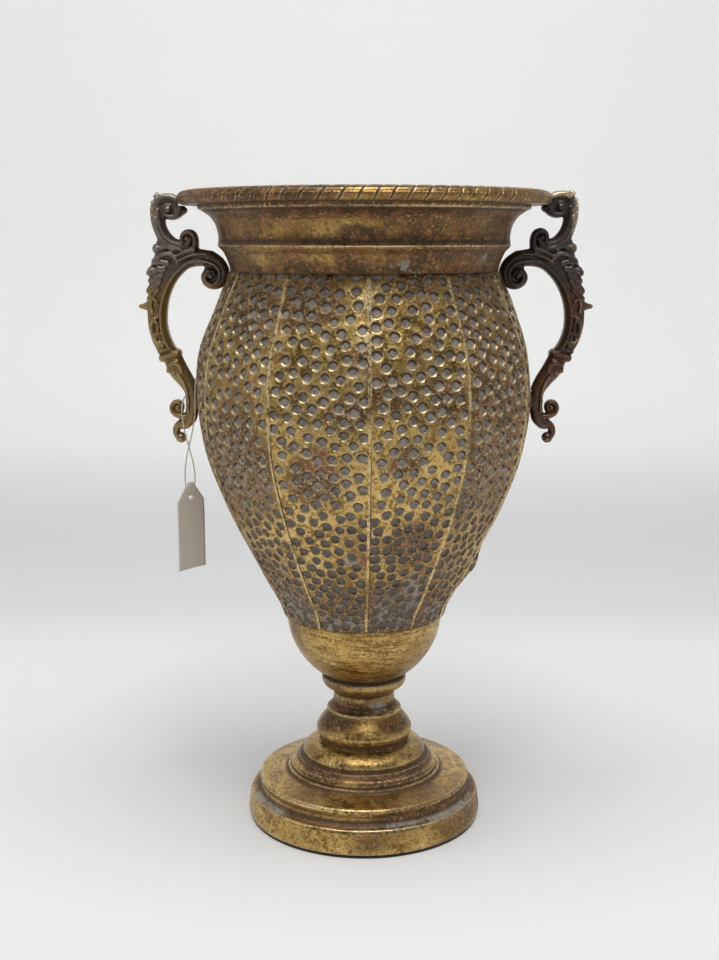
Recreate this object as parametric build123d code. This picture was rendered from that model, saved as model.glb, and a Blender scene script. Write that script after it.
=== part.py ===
"""Footed urn vase of punched sheet panels with a turned stem, a rope rim, scroll handles and a hang tag.

Millimetres, +Z up. The origin is on the vase's axis, on the surface that the vase stands on.
The front of the vase faces -Y. The handles lie in the XZ plane.
"""

import os
from math import asin, atan2, cos, degrees, hypot, pi, radians, sin, tan

from build123d import *

# Clearances and sheet
FIT = 0.3
SCREW_CLEARANCE = 0.15
SEAM = 0.2
SHEET = 1.2
CASTING = 3.0

# Foot and its pad
PAD_HEIGHT = 2.0
PAD_WIDTH = 14.0
PAD_INSET = 1.3
FOOT_RADIUS = 75.8
FOOT_HEIGHT = 46.0
FOOT_WALL_HEIGHT = 15.3
FOOT_KERB = 3.0
FOOT_BATTER = 2.0
FOOT_COVE_RISE = 1.6
FOOT_FASCIA = 5.0
FOOT_FASCIA_LEAN = 0.6
FOOT_EDGE = 1.2
FOOT_STEP_RADIUS = 68.4
FOOT_STEP_HEIGHT = 26.6
FOOT_FLANGE = 2.5
LOWER_BEAD_RADIUS = 48.6
LOWER_BEAD_FOOT = 30.0
LOWER_BEAD_BULGE = (-1.4, 5.2)
UPPER_BEAD_RADIUS = 41.4
UPPER_BEAD_FOOT = 37.4
UPPER_BEAD_BULGE = (-1.2, 5.4)
FOOT_TOP_RADIUS = 33.5
FOOT_TOP_PLATE = 4.0

# Stem
BULB_HEIGHT = 22.0
BULB_RADIUS = 31.7
BULB_CREST = 7.5
BULB_FOOT_INSET = 2.5
BULB_WAIST = 0.76
BULB_WALL = 4.8
NECK_HEIGHT = 12.0
NECK_LIP_RADIUS = 24.2
NECK_LIP = 1.2
NECK_RADIUS = 19.7
NECK_SHOULDER = 0.55
RING_HEIGHT = 9.5
RING_RADIUS = 27.2
RING_LIP = 1.0
RING_CREST = 0.95
STEM_BORE = 10.0

# Bowl
BOWL_RADIUS = 49.7
BOWL_BASE_RADIUS = 20.0
BOWL_RIM_DROP = 4.0
BOWL_SKIRT = 8.0
BOWL_BELLY = 0.62

# Panels: height above the lower edge, radius at the seams, flatness between seams
PANEL_COUNT = 11
FIRST_SEAM = -88.4
PANEL_HEIGHT = 219.0
PANEL_TOP_RADIUS = 84.2
PANEL_STATIONS = [
    (9.0, 53.8, 0.15),
    (27.0, 64.2, 0.6),
    (52.0, 77.6, 0.75),
    (82.0, 91.6, 0.75),
    (115.0, 102.4, 0.75),
    (146.0, 105.1, 0.75),
    (172.0, 101.9, 0.7),
    (198.0, 91.9, 0.4),
]

# Collar and rim
COLLAR_SKIRT = 3.0
COLLAR_RIDGE_HEIGHT = 15.6
COLLAR_RIDGE_RADIUS = 89.6
COLLAR_RIDGE = 1.0
COLLAR_COVE = (-0.6, 1.6)
COLLAR_FLARE = (0.22, 0.62)
COLLAR_WALL = 1.44
COLLAR_LAND = 3.1
COLLAR_HEIGHT = 36.5
COLLAR_TOP_RADIUS = 99.6
BAND_HEIGHT = 3.0
BAND_REACH = 2.0
BAND_EDGE = 1.0
ROPE_HEIGHT = 8.5
ROPE_WIDTH = 13.4
ROPE_LAP = 1.4
ROPE_FOOT_INSET = 2.4
ROPE_CREST_SHIFT = 0.8
ROPE_INNER_EDGE = 1.6

# Clamping rod, washers and nuts
ROD_RADIUS = 4.0
ROD_END = 4.0
WASHER_RADIUS = 9.0
WASHER = 2.0
NUT_FLATS = 13.0
NUT_HEIGHT = 6.5

# Handles: bands of a scroll as (distance from the axis, height over the panels' top edge, width), round
# pieces as (distance, height, radius), volutes as (distance, height, first radius, last radius)
HANDLE_DEPTH = 12.0
HANDLE_STEP = 1.0
LARGE_SCROLL = [
    (94.0, 8.6, 9.6),
    (104.0, 8.2, 10.8),
    (110.7, 5.6, 10.8),
    (115.3, 2.0, 10.8),
    (119.9, -3.5, 11.0),
    (123.6, -9.9, 11.2),
    (126.7, -18.8, 11.8),
    (128.0, -26.9, 12.4),
    (127.6, -35.8, 12.4),
    (125.7, -43.6, 12.3),
    (120.6, -52.2, 12.2),
]
LARGE_VOLUTE = (94.2, -3.0, 16.2, 5.9)
TOP_ARM = [
    (126.0, 37.0, 9.6),
    (126.2, 31.4, 9.2),
    (125.0, 25.4, 8.4),
    (122.4, 19.8, 8.8),
    (117.8, 16.0, 8.2),
    (110.0, 14.4, 7.6),
]
TOP_VOLUTE = (119.2, 37.5, 12.0, 6.8)
CURL_STEM = [(104.6, 10.0, 6.4), (104.7, 16.0, 6.0), (105.2, 20.0, 6.0)]
CURL = (107.6, 20.0, 5.2)
LEAF = [(106.0, 10.6, 8.0), (117.0, 10.6, 9.5), (125.0, 8.6, 8.0)]
LEAF_BACK = [(124.0, 17.0, 7.0), (125.0, 11.0, 6.4), (126.4, 5.0, 6.0)]
LEAF_EDGE = [(130.0, -6.5, 5.0), (131.2, -12.0, 6.2), (131.0, -18.0, 6.6)]
LEAF_BEADS = [(127.0, 13.8, 2.9), (129.4, 4.2, 3.2), (131.2, -0.8, 3.5)]
SPIKE = (134.6, -21.8, 9.6)
SPIKE_RADII = (4.2, 0.9)
SPIKE_TILT = 86.0
RING = (120.5, -52.2, 7.1)
RING_THICKNESS = 4.4
RING_ROUND = 1.6
RING_TILT = 19.0
LOW_ARM = [
    (120.2, -52.5, 12.0),
    (115.8, -61.5, 12.2),
    (111.4, -68.0, 10.4),
    (108.3, -74.0, 8.6),
    (107.6, -80.5, 8.0),
    (108.0, -87.0, 8.0),
    (109.6, -92.4, 8.0),
    (113.4, -95.6, 6.6),
]
OUTER_CURL_STEM = [(108.4, -90.4, 5.0), (112.4, -90.2, 4.6), (116.6, -89.4, 4.0)]
OUTER_CURL = (116.9, -85.2, 5.1)
HOOK = [
    (111.5, -95.6, 6.4),
    (115.4, -95.6, 5.6),
    (117.8, -98.4, 4.8),
    (117.4, -102.6, 4.8),
    (115.0, -104.4, 5.6),
]
HOOK_BEAD = (115.0, -103.8, 3.6)
BOSS_DISTANCE = 102.0
LOWER_SCREW_DROP = 75.0
SCREW_MARGIN = 1.5
HANDLE_KEEP_OUT = 30.0
VOLUTE_STEPS = 12
VOLUTE_SWEEP = 270.0
BOSS_RADIUS = 4.6
SCREW_RADIUS = 2.0
SCREW_GRIP = 8.0
SCREW_HEAD_RADIUS = 3.4
SCREW_HEAD = 2.4
SCREW_WASHER_RADIUS = 4.0
SCREW_WASHER = 1.0

# Hang tag
CARD_WIDTH = 25.0
CARD_HEIGHT = 53.0
CARD_SHOULDER = 11.6
CARD_TOP_WIDTH = 6.0
CARD_THICKNESS = 0.8
CARD_HOLE_RADIUS = 1.6
CARD_HOLE_DROP = 6.9
CORD_DIAMETER = 0.8
CORD_BEND = 0.45
HOLE_RUN = 5
LOOP_ROUTE = [
    (-113.4, -9.0, 264.4),
    (-112.9, -7.8, 272.8),
    (-112.7, 7.6, 273.4),
    (-108.6, 8.8, 280.8),
    (-104.9, 7.6, 286.6),
    (-104.5, -7.4, 286.4),
    (-104.8, -9.2, 277.4),
    (-105.2, -9.0, 264.4),
]
CORD_ROUTE = [
    (-105.2, -9.0, 263.8),
    (-107.0, -8.2, 253.0),
    (-110.4, -7.8, 241.0),
    (-112.7, -7.2, 228.0),
    (-112.5, -6.3, 218.6),
    (-111.9, -6.9, 212.7),
    (-106.7, -11.1, 212.7),
    (-106.1, -11.7, 218.6),
    (-105.6, -10.8, 228.0),
    (-108.4, -10.2, 241.0),
    (-112.0, -9.7, 253.0),
    (-113.4, -9.0, 263.8),
]

# Levels that follow from the heights
FOOT_Z = PAD_HEIGHT
BULB_Z = FOOT_Z + FOOT_HEIGHT
NECK_Z = BULB_Z + BULB_HEIGHT
RING_Z = NECK_Z + NECK_HEIGHT
BOWL_Z = RING_Z + RING_HEIGHT
BOWL_CENTRE = BOWL_Z + (BOWL_RADIUS**2 - BOWL_BASE_RADIUS**2) ** 0.5
PANEL_Z = BOWL_CENTRE - BOWL_RIM_DROP
COLLAR_Z = PANEL_Z + PANEL_HEIGHT
BAND_Z = COLLAR_Z + COLLAR_HEIGHT
ROPE_Z = BAND_Z + BAND_HEIGHT
BAND_RADIUS = COLLAR_TOP_RADIUS + BAND_REACH
ROPE_INNER_RADIUS = BAND_RADIUS - ROPE_LAP
ROPE_RADIUS = ROPE_INNER_RADIUS + ROPE_WIDTH
ROD_HOLE = ROD_RADIUS + FIT
SCREW_DROPS = [LOWER_SCREW_DROP, COLLAR_SKIRT + SCREW_WASHER_RADIUS + SCREW_MARGIN]
PITCH = 360.0 / PANEL_COUNT


def turned(*edges):
    """Solid of revolution about Z, from the edges of a closed outline in radius and height."""
    return revolve(Plane.XZ * make_face(edges), Axis.Z)


def foot_pad():
    outer = FOOT_RADIUS - PAD_INSET
    inner = outer - PAD_WIDTH
    return Pos(0, 0, PAD_HEIGHT / 2) * (Cylinder(outer, PAD_HEIGHT) - Cylinder(inner, PAD_HEIGHT))


def foot():
    """Shell with a wall, a cove, a fascia, a broad shoulder and two beads, closed by a plate at the top."""
    wall_top = FOOT_Z + FOOT_WALL_HEIGHT
    step = FOOT_Z + FOOT_STEP_HEIGHT
    lower = FOOT_Z + LOWER_BEAD_FOOT
    upper = FOOT_Z + UPPER_BEAD_FOOT
    wall_radius = FOOT_RADIUS - FOOT_BATTER
    fascia = (FOOT_STEP_RADIUS - FOOT_FASCIA_LEAN, step - FOOT_FASCIA)
    cove = ((wall_radius + FOOT_STEP_RADIUS) / 2, wall_top + FOOT_COVE_RISE)
    edge_low = (FOOT_STEP_RADIUS, step - FOOT_EDGE)
    edge_high = (FOOT_STEP_RADIUS - FOOT_EDGE, step)
    shoulder = ((FOOT_STEP_RADIUS + LOWER_BEAD_RADIUS) / 2, step + FOOT_EDGE)
    lower_foot = (LOWER_BEAD_RADIUS, lower)
    lower_crest = (LOWER_BEAD_RADIUS + LOWER_BEAD_BULGE[0], lower + LOWER_BEAD_BULGE[1])
    upper_foot = (UPPER_BEAD_RADIUS, upper)
    upper_crest = (UPPER_BEAD_RADIUS + UPPER_BEAD_BULGE[0], upper + UPPER_BEAD_BULGE[1])
    top = (FOOT_TOP_RADIUS, BULB_Z)
    outer = [
        Polyline((FOOT_RADIUS, FOOT_Z), (FOOT_RADIUS, FOOT_Z + FOOT_KERB), (wall_radius, wall_top)),
        ThreePointArc((wall_radius, wall_top), cove, fascia),
        Polyline(fascia, edge_low, edge_high),
        Spline(edge_high, shoulder, lower_foot),
        ThreePointArc(lower_foot, lower_crest, upper_foot),
        ThreePointArc(upper_foot, upper_crest, top),
    ]
    plate = BULB_Z - FOOT_TOP_PLATE
    flange = FOOT_Z + FOOT_FLANGE
    mouth = FOOT_RADIUS - PAD_INSET - PAD_WIDTH
    inner = [
        top,
        (ROD_HOLE, BULB_Z),
        (ROD_HOLE, plate),
        (FOOT_TOP_RADIUS, plate),
        (LOWER_BEAD_RADIUS - CASTING, lower - CASTING / 2),
        (FOOT_STEP_RADIUS - CASTING, step - CASTING - FOOT_EDGE / 2),
        (FOOT_STEP_RADIUS - CASTING, wall_top),
        (wall_radius - CASTING, wall_top - CASTING),
        (FOOT_RADIUS - CASTING, flange),
        (mouth, flange),
        (mouth, FOOT_Z),
        (FOOT_RADIUS, FOOT_Z),
    ]
    return turned(*outer, Polyline(*inner))


def stem_bulb():
    """Hollow swelling whose crest lies low, narrowing in an ogee to the neck."""
    foot_radius = FOOT_TOP_RADIUS - BULB_FOOT_INSET
    room = foot_radius - BULB_WALL
    crest = BULB_Z + BULB_CREST
    waist_z = BULB_Z + BULB_WAIST * BULB_HEIGHT
    waist = (BULB_RADIUS + NECK_LIP_RADIUS) / 2 - FOOT_EDGE
    top = NECK_LIP_RADIUS - NECK_LIP
    return turned(
        Spline((foot_radius, BULB_Z), (BULB_RADIUS, crest), (waist, waist_z), (top, NECK_Z)),
        Polyline((top, NECK_Z), (STEM_BORE, NECK_Z), (STEM_BORE, waist_z), (room, crest), (room, BULB_Z),
                 (foot_radius, BULB_Z)),
    )


def stem_neck():
    """Turned neck with a thin lip at its foot and a concave flank."""
    lip_top = NECK_Z + NECK_LIP
    shoulder = NECK_Z + NECK_SHOULDER * NECK_HEIGHT
    flank = ((NECK_LIP_RADIUS + NECK_RADIUS) / 2 - FIT, (lip_top + shoulder) / 2)
    return turned(
        Polyline((STEM_BORE, NECK_Z), (NECK_LIP_RADIUS, NECK_Z), (NECK_LIP_RADIUS, lip_top)),
        ThreePointArc((NECK_LIP_RADIUS, lip_top), flank, (NECK_RADIUS, shoulder)),
        Polyline((NECK_RADIUS, shoulder), (NECK_RADIUS, RING_Z), (STEM_BORE, RING_Z), (STEM_BORE, NECK_Z)),
    )


def neck_ring():
    """Ring moulding, dished on top so that the bowl sits in it."""
    seat = BOWL_BASE_RADIUS
    dish = BOWL_RADIUS + FIT
    lip = RING_RADIUS - RING_LIP
    mid = (seat + lip) / 2
    lip_z = BOWL_CENTRE - (dish**2 - lip**2) ** 0.5
    mid_z = BOWL_CENTRE - (dish**2 - mid**2) ** 0.5
    seat_z = BOWL_CENTRE - (dish**2 - seat**2) ** 0.5
    crest = RING_Z + RING_CREST * RING_HEIGHT
    flank = ((NECK_RADIUS + RING_RADIUS) / 2 + RING_LIP, RING_Z + RING_HEIGHT / 3)
    return turned(
        Polyline((ROD_HOLE, BOWL_Z), (ROD_HOLE, RING_Z), (NECK_RADIUS, RING_Z)),
        ThreePointArc((NECK_RADIUS, RING_Z), flank, (RING_RADIUS, crest)),
        Line((RING_RADIUS, crest), (lip, lip_z)),
        ThreePointArc((lip, lip_z), (mid, mid_z), (seat, seat_z)),
        Polyline((seat, seat_z), (seat, BOWL_Z), (ROD_HOLE, BOWL_Z)),
    )


def bowl():
    """Spun cup with a flat base and an upright skirt that goes up inside the panels."""

    def at(radius, drop):
        return ((radius**2 - drop**2) ** 0.5, BOWL_CENTRE - drop)

    inside = BOWL_RADIUS - SHEET
    base_drop = BOWL_CENTRE - BOWL_Z
    half_drop = BOWL_BELLY * base_drop
    rim = at(BOWL_RADIUS, BOWL_RIM_DROP)
    rim_inside = at(inside, BOWL_RIM_DROP)
    base_inside = (inside**2 - (base_drop - SHEET) ** 2) ** 0.5
    skirt = PANEL_Z + BOWL_SKIRT
    return turned(
        Line((ROD_HOLE, BOWL_Z), (BOWL_BASE_RADIUS, BOWL_Z)),
        ThreePointArc((BOWL_BASE_RADIUS, BOWL_Z), at(BOWL_RADIUS, half_drop), rim),
        Polyline(rim, (rim[0], skirt), (rim_inside[0], skirt), rim_inside),
        ThreePointArc(rim_inside, at(inside, half_drop), (base_inside, BOWL_Z + SHEET)),
        Polyline((base_inside, BOWL_Z + SHEET), (ROD_HOLE, BOWL_Z + SHEET), (ROD_HOLE, BOWL_Z)),
    )


def panel_stations():
    """Stations of a panel with its two ends, which fit round the bowl and the collar's skirt."""
    rim = (BOWL_RADIUS**2 - BOWL_RIM_DROP**2) ** 0.5
    return [(0.0, rim + FIT + SHEET, 0.0), *PANEL_STATIONS, (PANEL_HEIGHT, PANEL_TOP_RADIUS, 0.0)]


def panel_form(grow, depth, seam):
    """Loft of one gore about +X, with its outer face moved out by grow and its wall of the given depth."""
    half = radians(PITCH / 2)
    sections = []
    for height, ridge, flatness in panel_stations():

        def corner(radius, side):
            turn = side * (half - asin(seam / 2 / radius))
            return (radius * cos(turn), radius * sin(turn))

        outer = ridge + grow
        middle = ridge * cos(half) ** flatness + grow
        inner, inner_middle = outer - depth, middle - depth
        section = make_face([
            ThreePointArc(corner(outer, -1), (middle, 0), corner(outer, 1)),
            Line(corner(outer, 1), corner(inner, 1)),
            ThreePointArc(corner(inner, 1), (inner_middle, 0), corner(inner, -1)),
            Line(corner(inner, -1), corner(outer, -1)),
        ])
        sections.append(Pos(0, 0, PANEL_Z + height) * section)
    return loft(sections)


def panel_turn(index):
    """Rotation that carries the gore about +X to its own place."""
    return Rot(0, 0, FIRST_SEAM + (index + 0.5) * PITCH)


def panel_at(azimuth):
    """Number of the panel that holds an azimuth."""
    return int(((azimuth - FIRST_SEAM) % 360.0) // PITCH)


def collar():
    """Spun neck: a skirt inside the panels, a cone out to a ridge, then a cove that flares to the rim."""
    skirt = PANEL_TOP_RADIUS - SHEET - FIT
    skirt_inside = skirt - COLLAR_WALL
    skirt_z = COLLAR_Z - COLLAR_SKIRT
    foot_z = COLLAR_Z + SEAM
    ridge_z = COLLAR_Z + COLLAR_RIDGE_HEIGHT
    cove_z = ridge_z + COLLAR_COVE[1]
    cove = COLLAR_RIDGE_RADIUS + COLLAR_COVE[0]
    flare = cove + COLLAR_FLARE[0] * (COLLAR_TOP_RADIUS - cove)
    flare_z = cove_z + COLLAR_FLARE[1] * (BAND_Z - cove_z)
    land = COLLAR_TOP_RADIUS - COLLAR_LAND
    cove_inside = (cove - COLLAR_WALL, cove_z)
    return turned(
        Polyline((skirt_inside, skirt_z), (skirt, skirt_z), (skirt, foot_z), (PANEL_TOP_RADIUS, foot_z),
                 (COLLAR_RIDGE_RADIUS - COLLAR_RIDGE, ridge_z - COLLAR_RIDGE),
                 (COLLAR_RIDGE_RADIUS, ridge_z), (cove, cove_z)),
        ThreePointArc((cove, cove_z), (flare, flare_z), (COLLAR_TOP_RADIUS, BAND_Z)),
        Line((COLLAR_TOP_RADIUS, BAND_Z), (land, BAND_Z)),
        ThreePointArc((land, BAND_Z), (flare - COLLAR_WALL, flare_z), cove_inside),
        Polyline(cove_inside, (PANEL_TOP_RADIUS - COLLAR_WALL - FIT, foot_z + COLLAR_WALL),
                 (skirt_inside, foot_z - COLLAR_WALL), (skirt_inside, skirt_z)),
    )


def collar_room():
    """Room that the collar's cone and ridge need in front of a handle."""
    foot_z = COLLAR_Z - 3 * FIT
    ridge_z = COLLAR_Z + COLLAR_RIDGE_HEIGHT
    inner = PANEL_TOP_RADIUS - 2 * SHEET
    return turned(Polyline((inner, foot_z), (PANEL_TOP_RADIUS + 5 * FIT, foot_z),
                           (COLLAR_RIDGE_RADIUS + FIT, ridge_z), (COLLAR_RIDGE_RADIUS + FIT, BAND_Z),
                           (inner, BAND_Z), close=True))


def rim_band():
    """Flat moulding between the collar and the rope."""
    inner = COLLAR_TOP_RADIUS - COLLAR_LAND
    edge_z = BAND_Z + BAND_EDGE
    return turned(
        Polyline((inner, BAND_Z), (BAND_RADIUS - BAND_EDGE, BAND_Z), (BAND_RADIUS, edge_z),
                 (BAND_RADIUS, ROPE_Z), (inner, ROPE_Z), close=True),
    )


def rope_form(grow):
    """Rim ring: flat below, round on its outer side and top, moved out by grow."""
    middle_z = ROPE_Z + ROPE_HEIGHT / 2
    top_z = ROPE_Z + ROPE_HEIGHT + grow
    low_z = ROPE_Z - grow
    crest = ((ROPE_RADIUS + ROPE_INNER_RADIUS) / 2 + ROPE_CREST_SHIFT, top_z)
    foot_edge = (ROPE_RADIUS - ROPE_FOOT_INSET + grow, low_z)
    round_edge = (ROPE_RADIUS - ROPE_FOOT_INSET + grow, top_z - ROPE_HEIGHT / 10)
    inner_edge = (ROPE_INNER_RADIUS + ROPE_INNER_EDGE, top_z - ROPE_HEIGHT / 5)
    inner_side = (ROPE_INNER_RADIUS, middle_z)
    return turned(
        Line((ROPE_INNER_RADIUS, low_z), foot_edge),
        Spline(foot_edge, (ROPE_RADIUS + grow, middle_z), round_edge, crest),
        Spline(crest, inner_edge, inner_side),
        Line(inner_side, (ROPE_INNER_RADIUS, low_z)),
    )


def stroke(spine, depth):
    """Band of changing width along spine points of (x, height, width), centred on the XZ plane."""
    left, right = [], []
    for i, (x, z, width) in enumerate(spine):
        x0, z0 = spine[max(i - 1, 0)][:2]
        x1, z1 = spine[min(i + 1, len(spine) - 1)][:2]
        length = hypot(x1 - x0, z1 - z0)
        nx, nz = -(z1 - z0) / length, (x1 - x0) / length
        left.append((x + nx * width / 2, z + nz * width / 2))
        right.append((x - nx * width / 2, z - nz * width / 2))
    outline = [Spline(*left), Line(left[-1], right[-1]), Spline(*reversed(right)), Line(right[0], left[0])]
    return extrude(Plane.XZ * make_face(outline), depth / 2, both=True)


def volute(scroll, start_angle, depth):
    """Filled scroll end: its outline winds in from the first radius to the last."""
    x, z, start, end = scroll
    rate = (end / start) ** (1 / VOLUTE_STEPS)
    points = []
    for i in range(VOLUTE_STEPS + 1):
        turn = radians(start_angle + VOLUTE_SWEEP * i / VOLUTE_STEPS)
        points.append((x + start * rate**i * cos(turn), z + start * rate**i * sin(turn)))
    outline = [Spline(*points), Line(points[-1], points[0])]
    return extrude(Plane.XZ * make_face(outline), depth / 2, both=True)


def bead(x, z, radius):
    return Pos(x, 0, z) * Sphere(radius)


def disc(x, z, radius, depth):
    return Pos(x, 0, z) * Rot(90, 0, 0) * Cylinder(radius, depth)


def handle_form():
    """Cast scroll handle on the +X side, before it is cut to the body and the rim."""
    full = HANDLE_DEPTH
    middle = full - 2 * HANDLE_STEP
    thin = full - 3 * HANDLE_STEP
    form = stroke(LARGE_SCROLL, full) + volute(LARGE_VOLUTE, 90.0, full + HANDLE_STEP)
    form += stroke(TOP_ARM, middle) + volute(TOP_VOLUTE, 0.0, full)
    form += stroke(CURL_STEM, middle) + disc(*CURL, middle)
    form += stroke(LEAF, full - HANDLE_STEP) + stroke(LEAF_BACK, middle) + stroke(LEAF_EDGE, thin)
    for place in LEAF_BEADS:
        form += bead(*place)
    form += Pos(SPIKE[0], 0, SPIKE[1]) * Rot(0, SPIKE_TILT, 0) * Cone(*SPIKE_RADII, SPIKE[2])
    collar_ring = fillet(Cylinder(RING[2], RING_THICKNESS).edges(), RING_ROUND)
    form += Pos(RING[0], 0, RING[1]) * Rot(0, RING_TILT, 0) * collar_ring
    form += stroke(LOW_ARM, middle) + stroke(OUTER_CURL_STEM, thin) + disc(*OUTER_CURL, middle)
    form += stroke(HOOK, thin - HANDLE_STEP) + bead(*HOOK_BEAD)
    form += Pos(BOSS_DISTANCE, 0, -LOWER_SCREW_DROP) * Rot(0, 90, 0) * Cylinder(BOSS_RADIUS, full)
    return Pos(0, 0, COLLAR_Z) * form


def screw_seats(panel, side):
    """Planes on the inner face of a panel where a handle's screws sit, with Z towards the handle."""
    seats = []
    for drop in SCREW_DROPS:
        ray = Axis((0, 0, COLLAR_Z - drop), (side, 0, 0))
        hits = panel.find_intersection_points(ray)
        point, normal = min(hits, key=lambda hit: abs(hit[0].X))
        seats.append(Plane(origin=point, z_dir=normal if normal.X * side > 0 else -normal))
    return seats


def screw_hole(seat):
    """Clearance hole for a screw, through the panel and into the handle."""
    depth = SHEET + FIT + SCREW_GRIP + 2 * SCREW_CLEARANCE
    return seat * Pos(0, 0, depth / 2 - SHEET) * Cylinder(SCREW_RADIUS + SCREW_CLEARANCE, depth + 2 * SHEET)


def handle_screw(seat):
    """Pan-head screw, from inside the body."""
    under_head = -FIT - SCREW_WASHER
    length = SCREW_GRIP + SHEET + FIT - under_head
    shank = Pos(0, 0, under_head + length / 2) * Cylinder(SCREW_RADIUS, length)
    head = Pos(0, 0, under_head - SCREW_HEAD / 2) * Cylinder(SCREW_HEAD_RADIUS, SCREW_HEAD)
    return seat * (shank + fillet(head.edges().sort_by(Axis.Z)[:1], SCREW_HEAD / 3))


def handle_washer(seat):
    hole = Cylinder(SCREW_RADIUS + SCREW_CLEARANCE, SCREW_WASHER)
    return seat * Pos(0, 0, -FIT - SCREW_WASHER / 2) * (Cylinder(SCREW_WASHER_RADIUS, SCREW_WASHER) - hole)


def tie_parts():
    """Rod through foot, stem, ring and bowl, with a washer and a nut at each end."""
    low = BULB_Z - FOOT_TOP_PLATE
    high = BOWL_Z + SHEET
    bottom = low - WASHER - NUT_HEIGHT - ROD_END
    top = high + WASHER + NUT_HEIGHT + ROD_END
    rod = Pos(0, 0, (bottom + top) / 2) * Cylinder(ROD_RADIUS, top - bottom)
    washer = Cylinder(WASHER_RADIUS, WASHER) - Cylinder(ROD_HOLE, WASHER)
    nut_face = RegularPolygon(NUT_FLATS / 2, 6, major_radius=False) - Circle(ROD_RADIUS + SCREW_CLEARANCE)
    nut = extrude(nut_face, NUT_HEIGHT)
    washers = [Pos(0, 0, low - WASHER / 2) * washer, Pos(0, 0, high + WASHER / 2) * washer]
    nuts = [Pos(0, 0, low - WASHER - NUT_HEIGHT) * nut, Pos(0, 0, high + WASHER) * nut]
    return rod, washers, nuts


def tag_card():
    """Card with cut corners at the top and a hole for the string, hanging from that hole."""
    top = CARD_HOLE_DROP
    half, half_top = CARD_WIDTH / 2, CARD_TOP_WIDTH / 2
    shoulder = top - CARD_SHOULDER
    bottom = top - CARD_HEIGHT
    outline = Polyline((-half, bottom), (half, bottom), (half, shoulder), (half_top, top), (-half_top, top),
                       (-half, shoulder), close=True)
    face = make_face(outline) - Circle(CARD_HOLE_RADIUS)
    card = extrude(Plane.XZ * face, CARD_THICKNESS / 2, both=True)
    behind, ahead = Vector(*CORD_ROUTE[HOLE_RUN]), Vector(*CORD_ROUTE[HOLE_RUN + 1])
    through = ahead - behind
    facing = degrees(atan2(through.Y, through.X)) + 90.0
    hang = CARD_HOLE_RADIUS - CORD_DIAMETER / 2 - FIT
    return Pos((behind + ahead) / 2 - Vector(0, 0, hang)) * Rot(0, 0, facing) * card


def cord(name, route):
    """Tube along a route of straight runs joined by arcs as large as the runs allow."""
    points = [Vector(*point) for point in route]
    radii = []
    for before, here, after in zip(points, points[1:], points[2:]):
        turn = radians((here - before).get_angle(after - here))
        run = min((here - before).length, (after - here).length)
        radii.append(CORD_BEND * run / tan(turn / 2))
    path = FilletPolyline(*points, radius=radii)
    print(name, "bend radii", [round(r, 2) for r in radii], "length", round(path.length, 2))
    start = Plane(origin=path @ 0, z_dir=path % 0)
    tube = sweep(start * Circle(CORD_DIAMETER / 2), path=path)
    full = pi * CORD_DIAMETER**2 / 4 * path.length
    print(name, "volume over section times length", round(tube.volume / full, 4))
    return tube


def save(name, *solids):
    shape = solids[0] if len(solids) == 1 else Compound(children=list(solids))
    export_step(shape, os.path.join("parts", name + ".step"))


os.makedirs("parts", exist_ok=True)
save("foot_pad", foot_pad())
save("foot", foot())
save("stem_bulb", stem_bulb())
save("stem_neck", stem_neck())
save("neck_ring", neck_ring())
save("bowl", bowl())

gore = panel_form(0.0, SHEET, SEAM)
panels = [panel_turn(i) * gore for i in range(PANEL_COUNT)]
keep_out = panel_form(FIT, HANDLE_KEEP_OUT, 0.0)
rope_room = rope_form(FIT)
right_form = handle_form()
screws, screw_washers = [], []
for name, side, azimuth in (("handle_right", 1, 0.0), ("handle_left", -1, 180.0)):
    number = panel_at(azimuth)
    form = right_form if side > 0 else mirror(right_form, about=Plane.YZ)
    handle = form - panel_turn(number) * keep_out - collar_room() - rope_room
    for seat in screw_seats(panels[number], side):
        hole = screw_hole(seat)
        panels[number] -= hole
        handle -= hole
        screws.append(handle_screw(seat))
        screw_washers.append(handle_washer(seat))
    save(name, handle)
for i, panel in enumerate(panels):
    save(f"panel_{i + 1:02d}", panel)
save("handle_screws", *screws)
save("handle_washers", *screw_washers)

save("collar", collar())
save("rim_band", rim_band())
save("rope_rim", rope_form(0.0))
rod, washers, nuts = tie_parts()
save("tie_rod", rod)
save("tie_washers", *washers)
save("tie_nuts", *nuts)
save("tag_card", tag_card())
save("tag_loop", cord("tag_loop", LOOP_ROUTE))
save("tag_cord", cord("tag_cord", CORD_ROUTE))
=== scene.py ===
"""Footed urn vase of punched sheet panels with scroll handles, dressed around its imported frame.

The scene is in metres with +Z up, and the sizes of the pieces are written in millimetres. The front of the
vase faces -Y and the handles lie along X.
"""

import math

import bpy
import numpy as np
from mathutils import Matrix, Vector
from mathutils.geometry import delaunay_2d_cdt


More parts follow.
